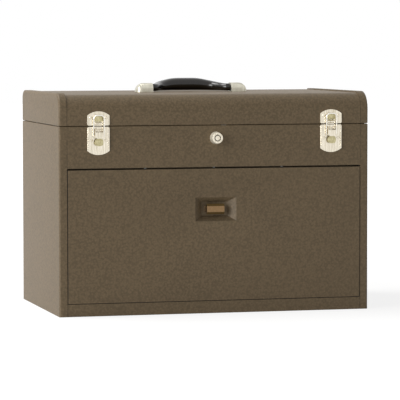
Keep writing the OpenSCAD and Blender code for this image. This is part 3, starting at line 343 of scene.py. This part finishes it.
def pressed_felt():
    material, tree, shader, place = new_material("brown_wool_felt")
    fibre = add(tree, "ShaderNodeTexNoise", {"Vector": place, "Scale": per_metre(FIBRE_MM),
                                             "Detail": 6.0, "Roughness": 0.7})
    tone = ramp(tree, fibre.outputs["Fac"], colour("#3c2617"), colour("#6d4a2f"),
                NOISE_LOW, NOISE_HIGH)
    bump = add(tree, "ShaderNodeBump", {"Height": fibre.outputs["Fac"], "Strength": NAP_STRENGTH,
                                        "Distance": NAP_MM * MM})
    tree.links.new(tone, shader.inputs["Base Color"])
    tree.links.new(bump.outputs["Normal"], shader.inputs["Normal"])
    shader.inputs["Roughness"].default_value = FELT_ROUGHNESS
    shader.inputs["Sheen Weight"].default_value = FELT_SHEEN
    return material


felt = pressed_felt()
print("felt", felt.name)

# %% [markdown]
# ## Bronze plate
#
# The small strap in the cover's recess is bronze plated steel. Like any metal it shows what is in
# front of it, so its flat face is tan from the pale room. The sloping sides beside it get a darker
# bronze, a painted dark reflection of the shaded recess that they face.

# %% Bronze plate
bronze = plated("bronze_plate", "#8b7152", "#745c40", 0.28, 0.4, 1.6, 1.6, 0.03)
# Painted dark reflection for the strap's sloping sides, of the shaded recess they face.
bronze_painted_dark_reflection = plated("bronze_painted_dark_reflection", "#5c4a2c", "#463720", 0.4, 0.55, 1.6, 1.6, 0.03)
print("bronzes", bronze.name, bronze_painted_dark_reflection.name)

# %% [markdown]
# ## Folded and pressed edges
#
# No edge of folded sheet is perfectly sharp: the press leaves a small radius that catches a thin
# line of light. Each steel piece is therefore copied, its loose triangles are merged into clean
# faces, and a narrow bevel goes round every edge sharper than 35 degrees. The bevel hardens its
# normals, so that the flat sheet beside it stays flat to the light. The copy stands for the packed
# piece, at the same place and on the same body.

# %% Helpers for finished pieces
def mesh_of(piece):
    """The piece's mesh with its modifiers applied."""
    depsgraph = bpy.context.evaluated_depsgraph_get()
    return bpy.data.meshes.new_from_object(piece.evaluated_get(depsgraph))


def stand_for(piece, *nodes):
    """The piece rides with the nodes' body and is shown in their place."""
    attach(piece, BODY_OF[nodes[0]])
    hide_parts(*nodes)
    return piece


# %% A softened copy
WELD = 2e-6
FLAT = math.radians(0.4)
EDGE_ANGLE = math.radians(35)
# A bevel that is too wide for a small feature is tried again at these shares of its width.
WIDTH_SHARES = (1.0, 0.7, 0.5, 0.35, 0.2)
FOLD_LIMIT_MM2 = 0.1


def folded_over(mesh):
    """Area in mm2 of the triangles that a too wide bevel has turned over inside their face."""
    mesh.calc_loop_triangles()
    return sum(part.area for part in mesh.loop_triangles
               if part.normal.dot(mesh.polygons[part.polygon_index].normal) < 0) / MM ** 2


def softened(node, material, radius_mm, edge_material=None):
    """A copy with its edges bevelled, as wide as the piece's small features allow."""
    mesh = NODES[node].data.copy()
    work = bmesh.new()
    work.from_mesh(mesh)
    bmesh.ops.remove_doubles(work, verts=work.verts, dist=WELD)
    bmesh.ops.dissolve_limit(work, angle_limit=FLAT, verts=work.verts, edges=work.edges)
    work.to_mesh(mesh)
    work.free()
    mesh.shade_smooth()
    mesh.set_sharp_from_angle(angle=EDGE_ANGLE)
    mesh.materials.clear()
    mesh.materials.append(material)
    piece = bpy.data.objects.new(node + "_finished", mesh)
    scene.collection.objects.link(piece)
    bevel = piece.modifiers.new("pressed edge", "BEVEL")
    bevel.segments = 2
    bevel.limit_method = "ANGLE"
    bevel.angle_limit = EDGE_ANGLE
    bevel.use_clamp_overlap = False
    bevel.harden_normals = True
    # An edge material goes on the bevel faces. On the case and lid it is painted shade that darkens
    # the gaps.
    if edge_material:
        mesh.materials.append(edge_material)
        bevel.material = 1
    for share in WIDTH_SHARES:
        bevel.width = share * radius_mm * MM
        bevelled = mesh_of(piece)
        if folded_over(bevelled) < FOLD_LIMIT_MM2:
            mesh = bevelled
            break
    piece.modifiers.clear()
    piece.data = mesh
    return stand_for(piece, node)


print("edges over", round(math.degrees(EDGE_ANGLE)), "degrees are softened")

# %% Softened case, lid and drawers
SHEET_EDGE = 0.4
DRAWER_EDGE = 0.3
CASE_SHEET = ["case_shell", "front_header", "bottom_rail", "lid_shell", "lid_end_left",
              "lid_end_right"]
# Every bevel face of these sheets gets the near black enamel, which is painted shade for the gaps
# between them.
for node in CASE_SHEET:
    softened(node, enamel, SHEET_EDGE, edge_shade_enamel)
DRAWER_BOXES = [node for node in NODES if node.startswith("drawer_") and node.endswith("_box")]
for node in DRAWER_BOXES:
    softened(node, drawer_enamel, DRAWER_EDGE)
print("softened", len(CASE_SHEET) + len(DRAWER_BOXES), "painted pieces")

# %% [markdown]
# ## Rims of the lid's ends
#
# Each end of the lid is a pressed cap. Its tongue lies under the skin, and its rim goes on from the
# skin's edge and stands proud of it: most at the top of the front bend, less behind, and not at the
# seam, where it has to meet the case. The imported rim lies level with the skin. A new rim could be
# swept round the outline, but then the round corner into the cap's side would have to be matched.
# It is simpler to move the points that lie on the rim's outside, each along its own way out, and
# to let the move die away round the corner.

# %% Rims of the lid's ends
RIM_LIFT_BACK = 1.7
RIM_LIFT_FRONT = 2.8
RIM_FORWARD = 0.6
# A point belongs to the rim's outside if it is this far past the skin and no deeper than this.
RIM_START = 0.05
RIM_SKIN = 0.6
FRONT_BEND = 26.0
BACK_BEND = 12.0
CORNER_ROUND = 3.2
# The rim comes forward only above the seam, and reaches its full way out this much higher.
SEAM_CLEAR = 3.0
SEAM_BLEND = 8.0
skin_low, skin_high = bounds_mm("lid_shell")
side_x = bounds_mm("lid_end_right")[1].x


def rim_way_out(y, z):
    """How deep a point lies under the lid's outline, and the outline's y and z direction there."""
    if y < skin_low.y + FRONT_BEND:
        bend, over = FRONT_BEND, y - skin_low.y - FRONT_BEND
    elif y > skin_high.y - BACK_BEND:
        bend, over = BACK_BEND, y - skin_high.y + BACK_BEND
    else:
        return skin_high.z - z, 0.0, 1.0
    up = max(0.0, z - skin_high.z + bend)
    span = math.hypot(over, up)
    return bend - span, over / span, up / span


for node in ("lid_end_left", "lid_end_right"):
    rim = scene.objects[node + "_finished"].data
    for vertex in rim.vertices:
        x, y, z = vertex.co / MM
        if abs(x) > skin_high.x + RIM_START:
            depth, out_y, out_z = rim_way_out(y, z)
            share = float(depth < RIM_SKIN)
            if abs(x) > side_x - CORNER_ROUND:
                share = max(0.0, 1.0 - depth / CORNER_ROUND)
            seam_share = min(1.0, max(0.0, (z - skin_low.z - SEAM_CLEAR) / SEAM_BLEND))
            forward = (skin_high.y - y) / (skin_high.y - skin_low.y)
            lift = RIM_LIFT_BACK + (RIM_LIFT_FRONT - RIM_LIFT_BACK) * forward
            vertex.co.z += lift * share * max(0.0, out_z) * MM
            vertex.co.y += RIM_FORWARD * share * seam_share * min(0.0, out_y) * MM
    rim.update()
print("rims stand", RIM_LIFT_BACK, "to", RIM_LIFT_FRONT, "mm over the lid")

# %% [markdown]
# ## Latch plates and drawer pulls
#
# The plates under the latches and the pulls of the drawers are stamped from nickel plated strip.
# Strip is thinner than the case's sheet and its press radii are smaller, so they are softened in
# the same way, by a quarter of a millimetre.

# %% Softened copies of the latch plates and drawer pulls
STRIP_EDGE = 0.25
STRIP_PIECES = ["latch_base_left", "latch_base_right"]
STRIP_PIECES += [node for node in NODES if node.startswith("drawer_") and node.endswith("_pull")]
for node in STRIP_PIECES:
    softened(node, nickel, STRIP_EDGE)
print("softened", len(STRIP_PIECES), "nickel pieces")

# %% [markdown]
# ## Handle caps
#
# A handle cap is a small die casting, and its outer end falls away in one long quarter round.
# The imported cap's end is a little squarer, so the copy is let down: beyond the point where the
# round starts, each height is scaled by how far the round has fallen there.

# %% Handle caps
CAST_EDGE = 0.3
ROUND_LENGTH = 14.0
ROUND_TOE = 0.3
for side, sign in (("left", -1), ("right", 1)):
    node = "handle_cap_" + side
    cap = softened(node, cast_nickel, CAST_EDGE)
    low, high = bounds_mm(node)
    outer = high.x if sign > 0 else -low.x
    for vertex in cap.data.vertices:
        beyond = (sign * vertex.co.x / MM - outer + ROUND_LENGTH) / ROUND_LENGTH
        if beyond > 0:
            fall = math.sqrt(max(0.0, 1 - beyond ** 2))
            keep = ROUND_TOE + (1 - ROUND_TOE) * fall
            vertex.co.z = low.z * MM + (vertex.co.z - low.z * MM) * keep
    cap.data.update()
print("rounded the last", ROUND_LENGTH, "mm of both handle caps")

# %% [markdown]
# ## A second material on part of a piece: painted light or a second finish
#
# The cover's rim gets painted shade at its edge, for the gap round the cover. A strike's hook and
# a lever's finger tab get a painted darker reflection. The lock's barrel is tumbled and not
# polished, and its ring keyway gets painted shade, dark because it is deep. The strap's slopes get
# a painted dark reflection, and its feet are painted with the cover. Each is a place on a pressed
# or turned piece, so the piece stays one mesh, and the faces whose middle lies in that place get a
# second material.

# %% Painted gap shade on the cover's rim
def second_material_on(piece, material, lies_there):
    """Gives material to the faces whose middle, in mm, lies in the place."""
    piece.data.materials.append(material)
    slot = len(piece.data.materials) - 1
    for face in piece.data.polygons:
        if lies_there(face.center / MM, face.normal):
            face.material_index = slot
    return piece


# The faces of the cover's rim get the painted gap shade.
COVER_RIM = 0.5
cover_low, cover_high = bounds_mm("cover_panel")
second_material_on(softened("cover_panel", enamel, SHEET_EDGE), rim_shade_enamel,
           lambda middle, normal: (abs(middle.x) > cover_high.x - COVER_RIM
                                   or middle.z < cover_low.z + COVER_RIM
                                   or middle.z > cover_high.z - COVER_RIM))
print("dark rim on the cover,", COVER_RIM, "mm deep")

# %% Painted darker reflection on the strikes' hooks and the levers' tabs
LATCH_EDGE = 0.2
HOOK_FOOT = 7.2
HOOK_PROUD = 2.0
TAB_TOP = 11.4
# Each hook and finger tab gets the olive nickel, which is a painted darker reflection.
for side in ("left", "right"):
    low, high = bounds_mm("latch_strike_" + side)
    plate_front = high.y
    second_material_on(softened("latch_strike_" + side, nickel, LATCH_EDGE), reflection_painted_nickel,
               lambda middle, normal: (middle.z > low.z + HOOK_FOOT
                                       and middle.y < plate_front - HOOK_PROUD))
    low, high = bounds_mm("latch_lever_" + side)
    second_material_on(softened("latch_lever_" + side, nickel, LATCH_EDGE), reflection_painted_nickel,
               lambda middle, normal: middle.z < low.z + TAB_TOP)
print("rubbed hooks and tabs on both latches")

# %% Painted keyway shade, tumbled barrel and painted strap reflection
PLUG_EDGE = 0.3
BARREL_EDGE = 0.25
BARREL_SIDE = 0.5
LOCK_FACE_SKIN = 0.03
KEYWAY_REACH = 5.65
STRAP_EDGE = 0.15
STRAP_SLOPE = 0.25
STRAP_FOOT = 2.2
STRAP_HALF = 14.6
low, high = bounds_mm("lock_plug")
lock_face = low.y
axis_x, axis_z = (low.x + high.x) / 2, (low.z + high.z) / 2
# The keyway's deep ring gets painted shade.
second_material_on(softened("lock_plug", nickel, PLUG_EDGE), painted_keyway_shade,
           lambda middle, normal: (middle.y > lock_face + LOCK_FACE_SKIN
                                   and math.hypot(middle.x - axis_x, middle.z - axis_z)
                                   < KEYWAY_REACH))
second_material_on(softened("lock_body", nickel, BARREL_EDGE), tumbled_nickel,
           lambda middle, normal: abs(normal.y) < BARREL_SIDE)
low, high = bounds_mm("cover_pull")
strap = softened("cover_pull", bronze, STRAP_EDGE)
# The strap's slopes get the painted dark reflection.
second_material_on(strap, bronze_painted_dark_reflection, lambda middle, normal: abs(normal.z) > STRAP_SLOPE)
second_material_on(strap, enamel,
           lambda middle, normal: middle.y > high.y - STRAP_FOOT and abs(middle.x) > STRAP_HALF)
print("keyway to", KEYWAY_REACH, "mm from the lock's axis;", len(strap.data.materials),
      "finishes on the strap")

# %% [markdown]
# ## Handle grip
#
# The grip is one moulding: round collars at the caps, necks that swing back over the lid, and a
# full belly that fills the palm. Its shape follows a rule, a section that grows and turns along a
# path, so it is lofted: rings are set across a smooth curve through a few stations and joined to a
# closed skin. Each station holds the path's place and the section's half width and half height.

# %% Stations of the grip
pivot_low, pivot_high = bounds_mm("handle_pivots")
PIVOT = Vector((0, (pivot_low.y + pivot_high.y) / 2, (pivot_low.z + pivot_high.z) / 2))
collar_x = bounds_mm("handle_grip")[1].x
reach_y = 40.0
STATIONS = [((collar_x, 0.0, 0.0), 5.9, 5.9), ((collar_x - 3.4, 0.4, 0.0), 6.1, 6.0),
            ((collar_x - 8.0, 4.8, 0.1), 6.0, 6.0), ((collar_x - 12.6, 16.0, 0.7), 7.4, 6.6),
            ((collar_x - 19.0, 27.5, 1.5), 9.6, 7.4), ((collar_x - 30.0, 36.0, 2.9), 11.6, 8.7),
            ((collar_x - 46.0, reach_y, 4.4), 13.0, 10.1), ((0.0, reach_y + 0.2, 4.6), 13.1, 10.3)]
STEPS = 9


def smooth_between(before, start, end, after, share):
    """Catmull-Rom interpolation from start to end."""
    return 0.5 * (2 * start + (end - before) * share
                  + (2 * before - 5 * start + 4 * end - after) * share ** 2
                  + (3 * start - before - 3 * end + after) * share ** 3)


def grip_rings():
    """Place, half width and half height of each ring, from the right collar to the left one."""
    half = [(Vector(place), wide, tall) for place, wide, tall in STATIONS]
    mirrored = [(Vector((-place.x, place.y, place.z)), wide, tall)
                for place, wide, tall in reversed(half[:-1])]
    whole = half + mirrored
    padded = [whole[0]] + whole + [whole[-1]]
    rings = []
    for i in range(len(whole) - 1):
        for step in range(STEPS if i < len(whole) - 2 else STEPS + 1):
            rings.append([smooth_between(*(station[part] for station in padded[i:i + 4]),
                                         step / STEPS) for part in range(3)])
    return rings


rings = grip_rings()
print("grip", round(2 * collar_x, 1), "mm long in", len(rings), "rings")

# %% Loft of the grip
RING_POINTS = 40
SQUARENESS = 2.3


def squared_circle(angle):
    """A point of a circle that is pressed a little towards a square."""
    x, y = math.cos(angle), math.sin(angle)
    power = 2 / SQUARENESS
    return math.copysign(abs(x) ** power, x), math.copysign(abs(y) ** power, y)


work = bmesh.new()
loops = []
for i, (place, wide, tall) in enumerate(rings):
    ahead = rings[min(i + 1, len(rings) - 1)][0] - rings[max(i - 1, 0)][0]
    if i in (0, len(rings) - 1):
        ahead = Vector((-1, 0, 0))
    across = ahead.cross(Vector((0, 0, 1))).normalized()
    upwards = across.cross(ahead).normalized()
    centre = place + PIVOT
    loops.append([work.verts.new((centre + across * wide * along + upwards * tall * up) * MM)
                  for along, up in (squared_circle(2 * math.pi * k / RING_POINTS)
                                    for k in range(RING_POINTS))])
for first, second in zip(loops, loops[1:]):
    for k in range(RING_POINTS):
        after = (k + 1) % RING_POINTS
        work.faces.new((first[k], first[after], second[after], second[k]))
work.faces.new(loops[0])
work.faces.new(loops[-1])
bmesh.ops.recalc_face_normals(work, faces=work.faces)
grip_mesh = bpy.data.meshes.new("grip_moulding")
work.to_mesh(grip_mesh)
work.free()
grip_mesh.shade_smooth()
grip_mesh.set_sharp_from_angle(angle=EDGE_ANGLE)
grip_mesh.materials.append(black_plastic)
grip = bpy.data.objects.new("grip_moulding", grip_mesh)
scene.collection.objects.link(grip)
stand_for(grip, "handle_grip")
print("grip skin", len(grip_mesh.polygons), "faces")

# %% [markdown]
# ## Rivets
#
# Every latch and cap is held by the same rivet: a domed head, a shank through the sheets, and a
# tail that is hammered flat behind them. One tree of Geometry Nodes builds it at each point of a
# small mesh, so that its sizes are set in one place. Each point carries the way its head faces, its
# grip from head to tail, and whether it has a tail or ends blind in a cap.

# %% Where the rivets sit
def islands(node):
    """The low and high corner, in mm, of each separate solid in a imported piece."""
    work = bmesh.new()
    work.from_mesh(NODES[node].data)
    bmesh.ops.remove_doubles(work, verts=work.verts, dist=WELD)
    unseen = set(work.verts)
    corners = []
    while unseen:
        reached = [unseen.pop()]
        for vertex in reached:
            for edge in vertex.link_edges:
                other = edge.other_vert(vertex)
                if other in unseen:
                    unseen.remove(other)
                    reached.append(other)
        corners.append(box_corners([vertex.co / MM for vertex in reached]))
    work.free()
    return sorted(corners, key=lambda pair: tuple(pair[0]))


RIVETS = {node: islands(node) for node in ("case_rivets", "lid_rivets")}
print("rivets", {node: len(found) for node, found in RIVETS.items()})

# %% Points for the rivets
HEAD_DIAMETER = 5.0
HEAD_HEIGHT = 1.0
SHANK_DIAMETER = 2.8


def rivet_points(node):
    """A mesh of points with the attributes that the rivet tree reads.

    A rivet through the front has a tail. An upright one ends blind in a handle cap.
    """
    seats, facings, grips, tails = [], [], [], []
    for low, high in RIVETS[node]:
        size = high - low
        axis = max(range(3), key=lambda i: abs(size[i] - HEAD_DIAMETER))
        facing = Vector([-1.0 if i == axis else 0.0 for i in range(3)])
        seat = (low + high) / 2
        seat[axis] = low[axis] + HEAD_HEIGHT
        seats.append(seat * MM)
        facings.append(facing)
        has_tail = axis == 1
        grips.append((size[axis] - HEAD_HEIGHT - (HEAD_HEIGHT if has_tail else 0.0)) * MM)
        tails.append(has_tail)
    mesh = bpy.data.meshes.new(node + "_points")
    mesh.from_pydata(seats, [], [])
    mesh.attributes.new("facing", "FLOAT_VECTOR", "POINT").data.foreach_set(
        "vector", [value for facing in facings for value in facing])
    mesh.attributes.new("grip", "FLOAT", "POINT").data.foreach_set("value", grips)
    mesh.attributes.new("has_tail", "BOOLEAN", "POINT").data.foreach_set("value", tails)
    return mesh


POINTS = {node: rivet_points(node) for node in RIVETS}
print("points", [mesh.name for mesh in POINTS.values()])

# %% [markdown]
# ## The rivet tree
#
# The head is a ball pressed flat, half of it inside the sheet. The shank is as long as the grip of
# its point, and the tail is a disc at its end. Each is made once, takes its size from the named
# inputs and is set on every point. The copies are made real at the end, because an export drops
# instances.

# %% Inputs of the rivet tree
RIVET_SIZES = {"Head diameter": HEAD_DIAMETER, "Head height": HEAD_HEIGHT,
               "Shank diameter": SHANK_DIAMETER}
tree = bpy.data.node_groups.new("rivet", "GeometryNodeTree")
tree.interface.new_socket("Points", in_out="INPUT", socket_type="NodeSocketGeometry")
for name in RIVET_SIZES:
    tree.interface.new_socket(name, in_out="INPUT", socket_type="NodeSocketFloat")
tree.interface.new_socket("Plate", in_out="INPUT", socket_type="NodeSocketMaterial")
tree.interface.new_socket("Rivets", in_out="OUTPUT", socket_type="NodeSocketGeometry")
given = add(tree, "NodeGroupInput").outputs
facing = add(tree, "GeometryNodeInputNamedAttribute", {"Name": "facing"},
             data_type="FLOAT_VECTOR").outputs["Attribute"]
grip_length = add(tree, "GeometryNodeInputNamedAttribute", {"Name": "grip"},
                  data_type="FLOAT").outputs["Attribute"]
has_tail = add(tree, "GeometryNodeInputNamedAttribute", {"Name": "has_tail"},
               data_type="BOOLEAN").outputs["Attribute"]
turn = add(tree, "FunctionNodeAlignRotationToVector", {"Vector": facing}, axis="Z")
print("inputs", [output.name for output in given if output.name])

# %% Head of the rivet
HEAD_SIDES, HEAD_RINGS = 24, 12
dome = add(tree, "GeometryNodeMeshUVSphere",
           {"Segments": HEAD_SIDES, "Rings": HEAD_RINGS, "Radius": 0.5})
dome_depth = add(tree, "ShaderNodeMath", {0: given["Head height"], 1: 2.0}, operation="MULTIPLY")
dome_size = add(tree, "ShaderNodeCombineXYZ", {"X": given["Head diameter"],
                                               "Y": given["Head diameter"],
                                               "Z": dome_depth.outputs[0]})
dome_sized = add(tree, "GeometryNodeTransform", {"Geometry": dome.outputs["Mesh"],
                                                 "Scale": dome_size.outputs[0]})
heads = add(tree, "GeometryNodeInstanceOnPoints",
            {"Points": given["Points"], "Instance": dome_sized.outputs[0],
             "Rotation": turn.outputs[0]})
print("head with", HEAD_SIDES, "sides")

# %% Shank of the rivet
SHANK_SIDES = 20
half_shank = add(tree, "ShaderNodeMath", {0: given["Shank diameter"], 1: 0.5},
                 operation="MULTIPLY")
shank = add(tree, "GeometryNodeMeshCylinder",
            {"Vertices": SHANK_SIDES, "Radius": half_shank.outputs[0], "Depth": 1.0})
shank_hung = add(tree, "GeometryNodeTransform", {"Geometry": shank.outputs["Mesh"],
                                                 "Translation": (0.0, 0.0, -0.5)})
shank_size = add(tree, "ShaderNodeCombineXYZ", {"X": 1.0, "Y": 1.0, "Z": grip_length})
shanks = add(tree, "GeometryNodeInstanceOnPoints",
             {"Points": given["Points"], "Instance": shank_hung.outputs[0],
              "Rotation": turn.outputs[0], "Scale": shank_size.outputs[0]})
print("shank with", SHANK_SIDES, "sides")

# %% Tail of the rivet
half_head = add(tree, "ShaderNodeMath", {0: given["Head diameter"], 1: 0.5}, operation="MULTIPLY")
tail = add(tree, "GeometryNodeMeshCylinder",
           {"Vertices": HEAD_SIDES, "Radius": half_head.outputs[0],
            "Depth": given["Head height"]})
half_tail = add(tree, "ShaderNodeMath", {0: given["Head height"], 1: 0.5}, operation="MULTIPLY")
tail_depth = add(tree, "ShaderNodeMath", {0: grip_length, 1: half_tail.outputs[0]},
                 operation="ADD")
behind = add(tree, "ShaderNodeMath", {0: tail_depth.outputs[0], 1: -1.0}, operation="MULTIPLY")
tail_shift = add(tree, "ShaderNodeVectorMath", {0: facing, "Scale": behind.outputs[0]},
                 operation="SCALE")
tail_points = add(tree, "GeometryNodeSetPosition", {"Geometry": given["Points"],
                                                    "Offset": tail_shift.outputs[0]})
tails = add(tree, "GeometryNodeInstanceOnPoints",
            {"Points": tail_points.outputs[0], "Selection": has_tail,
             "Instance": tail.outputs["Mesh"], "Rotation": turn.outputs[0]})
print("tail with", HEAD_SIDES, "sides")

# %% Output of the rivet tree
joined = add(tree, "GeometryNodeJoinGeometry")
for part in (heads, shanks, tails):
    tree.links.new(part.outputs["Instances"], joined.inputs[0])
real = add(tree, "GeometryNodeRealizeInstances", {"Geometry": joined.outputs[0]})
plate = add(tree, "GeometryNodeSetMaterial", {"Geometry": real.outputs[0],
                                              "Material": given["Plate"]})
result = add(tree, "NodeGroupOutput")
tree.links.new(plate.outputs[0], result.inputs["Rivets"])
rivet_tree = tree
print("rivet tree", len(tree.nodes), "nodes")

# %% Rivets of the case and of the lid
SOCKET = {item.name: item.identifier for item in rivet_tree.interface.items_tree
          if item.in_out == "INPUT"}
for node, points in POINTS.items():
    piece = bpy.data.objects.new(node + "_domed", points)
    scene.collection.objects.link(piece)
    built = piece.modifiers.new("rivets", "NODES")
    built.node_group = rivet_tree
    for name, size in RIVET_SIZES.items():
        built[SOCKET[name]] = size * MM
    built[SOCKET["Plate"]] = nickel
    mesh = mesh_of(piece)
    piece.modifiers.clear()
    piece.data = mesh
    mesh.shade_smooth()
    mesh.set_sharp_from_angle(angle=EDGE_ANGLE)
    stand_for(piece, node)
    print(node, len(mesh.polygons), "faces")

# %% [markdown]
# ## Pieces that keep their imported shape
#
# Flat inner sheets, runners, the hinge and liners are right as they come, so they only get their
# finish. The wire loops of the latches are bright drawn wire, paler than the stamped plates.

# %% Finishes of the remaining pieces
FINISH = {"brown_enamel": enamel, "nickel_steel": nickel, "zinc_steel": zinc, "felt": felt,
          "black_plastic": black_plastic, "bronze_strap": bronze}
for node, piece in NODES.items():
    piece.data.materials.clear()
    piece.data.materials.append(bright_nickel if "bail" in node else FINISH[SLOT_OF[node]])
print("finished", len(NODES), "packed pieces")

# %% [markdown]
# ## Studio
#
# A pale floor, a broad light from the left and a weaker one from above give the pale left side
# and the darker front. The floor and the sky read white to the camera and in reflections. Round
# the chest the floor keeps some of its own shade, so that the shadow shows, and further out it
# goes over into plain white.

# %% Floor
FLOOR_HALF_M = 12.0
FLOOR_DROP_M = 0.0002
FLOOR_GLOW = 1.16
SHADE_RADIUS_M = 0.45
WHITE_RADIUS_M = 1.3
NEAR_GLOW_SHARE = 0.72


def seen_directly(tree):
    """1 for rays that the camera, a mirror or glass sends, 0 for light."""
    path = add(tree, "ShaderNodeLightPath")
    first = add(tree, "ShaderNodeMath", {0: path.outputs["Is Camera Ray"],
                                         1: path.outputs["Is Glossy Ray"]}, operation="ADD")
    both = add(tree, "ShaderNodeMath", {0: first.outputs[0],
                                        1: path.outputs["Is Transmission Ray"]}, operation="ADD")
    both.use_clamp = True
    return both.outputs[0]


def floor_material():
    material = bpy.data.materials.new("pale_floor")
    material.use_nodes = True
    tree = material.node_tree
    tree.nodes.clear()
    matte = add(tree, "ShaderNodeBsdfDiffuse", {"Color": colour("#f2f1ef")})
    glow = add(tree, "ShaderNodeEmission", {"Color": (1, 1, 1, 1), "Strength": FLOOR_GLOW})
    place = add(tree, "ShaderNodeTexCoord").outputs["Object"]
    away = add(tree, "ShaderNodeVectorMath", {0: place}, operation="LENGTH")
    pure = add(tree, "ShaderNodeMapRange",
               {"Value": away.outputs["Value"], "From Min": SHADE_RADIUS_M,
                "From Max": WHITE_RADIUS_M, "To Min": NEAR_GLOW_SHARE, "To Max": 1.0})
    share = add(tree, "ShaderNodeMath", {0: seen_directly(tree), 1: pure.outputs["Result"]},
                operation="MULTIPLY")
    mixed = add(tree, "ShaderNodeMixShader", {0: share.outputs[0], 1: matte.outputs[0],
                                              2: glow.outputs[0]})
    output = add(tree, "ShaderNodeOutputMaterial")
    tree.links.new(mixed.outputs[0], output.inputs["Surface"])
    return material


floor_mesh = bpy.data.meshes.new("floor")
floor_mesh.from_pydata([(x * FLOOR_HALF_M, y * FLOOR_HALF_M, 0)
                        for x, y in ((-1, -1), (1, -1), (1, 1), (-1, 1))], [], [(0, 1, 2, 3)])
floor_mesh.materials.append(floor_material())
floor = bpy.data.objects.new("floor", floor_mesh)
scene.collection.objects.link(floor)
floor.location.z = -FLOOR_DROP_M
print("floor", 2 * FLOOR_HALF_M, "m wide")

# %% [markdown]
# ## Sky
#
# The sky is a plain white that the camera and the metals see at full strength. As a light it gives
# only a fifth of that, enough to open the shadows, so that the two lamps still model the chest.

# %% Sky
SKY_FILL = 0.2
world = bpy.data.worlds.new("studio")
world.use_nodes = True
scene.world = world
sky = world.node_tree
sky.nodes.clear()
sky_level = add(sky, "ShaderNodeMapRange", {"Value": seen_directly(sky), "To Min": SKY_FILL,
                                            "To Max": 1.0})
sky_light = add(sky, "ShaderNodeBackground", {"Color": (1, 1, 1, 1),
                                              "Strength": sky_level.outputs["Result"]})
sky_output = add(sky, "ShaderNodeOutputWorld")
sky.links.new(sky_light.outputs[0], sky_output.inputs["Surface"])
print("sky fill", SKY_FILL)

# %% [markdown]
# ## Lamps
#
# Two large softboxes, as in a small studio. The broad one stands far to the left and a little in
# front, so the left side is pale and the front is in half light. The small one hangs above and
# gives the lid's bend and the grip their highlights. Both face the middle of the chest.

# %% Lamps
CENTRE = Vector((0, 0, 0.18))


def softbox(name, position, size, watts):
    """A rectangular lamp; place and size in metres."""
    lamp = bpy.data.lights.new(name, "AREA")
    lamp.shape = "RECTANGLE"
    lamp.size, lamp.size_y = size
    lamp.energy = watts
    holder = bpy.data.objects.new(name, lamp)
    scene.collection.objects.link(holder)
    holder.location = position
    holder.rotation_euler = (holder.location - CENTRE).to_track_quat("Z", "Y").to_euler()
    return holder


lamps = [softbox("left_light", position=(-6.2, -3.2, 1.8), size=(3.8, 3.8), watts=312),
         softbox("top_light", position=(-1.4, 0.6, 2.6), size=(1.4, 1.6), watts=58)]
scene.view_settings.view_transform = "Standard"
print("lamps", {lamp.name: lamp.data.energy for lamp in lamps})
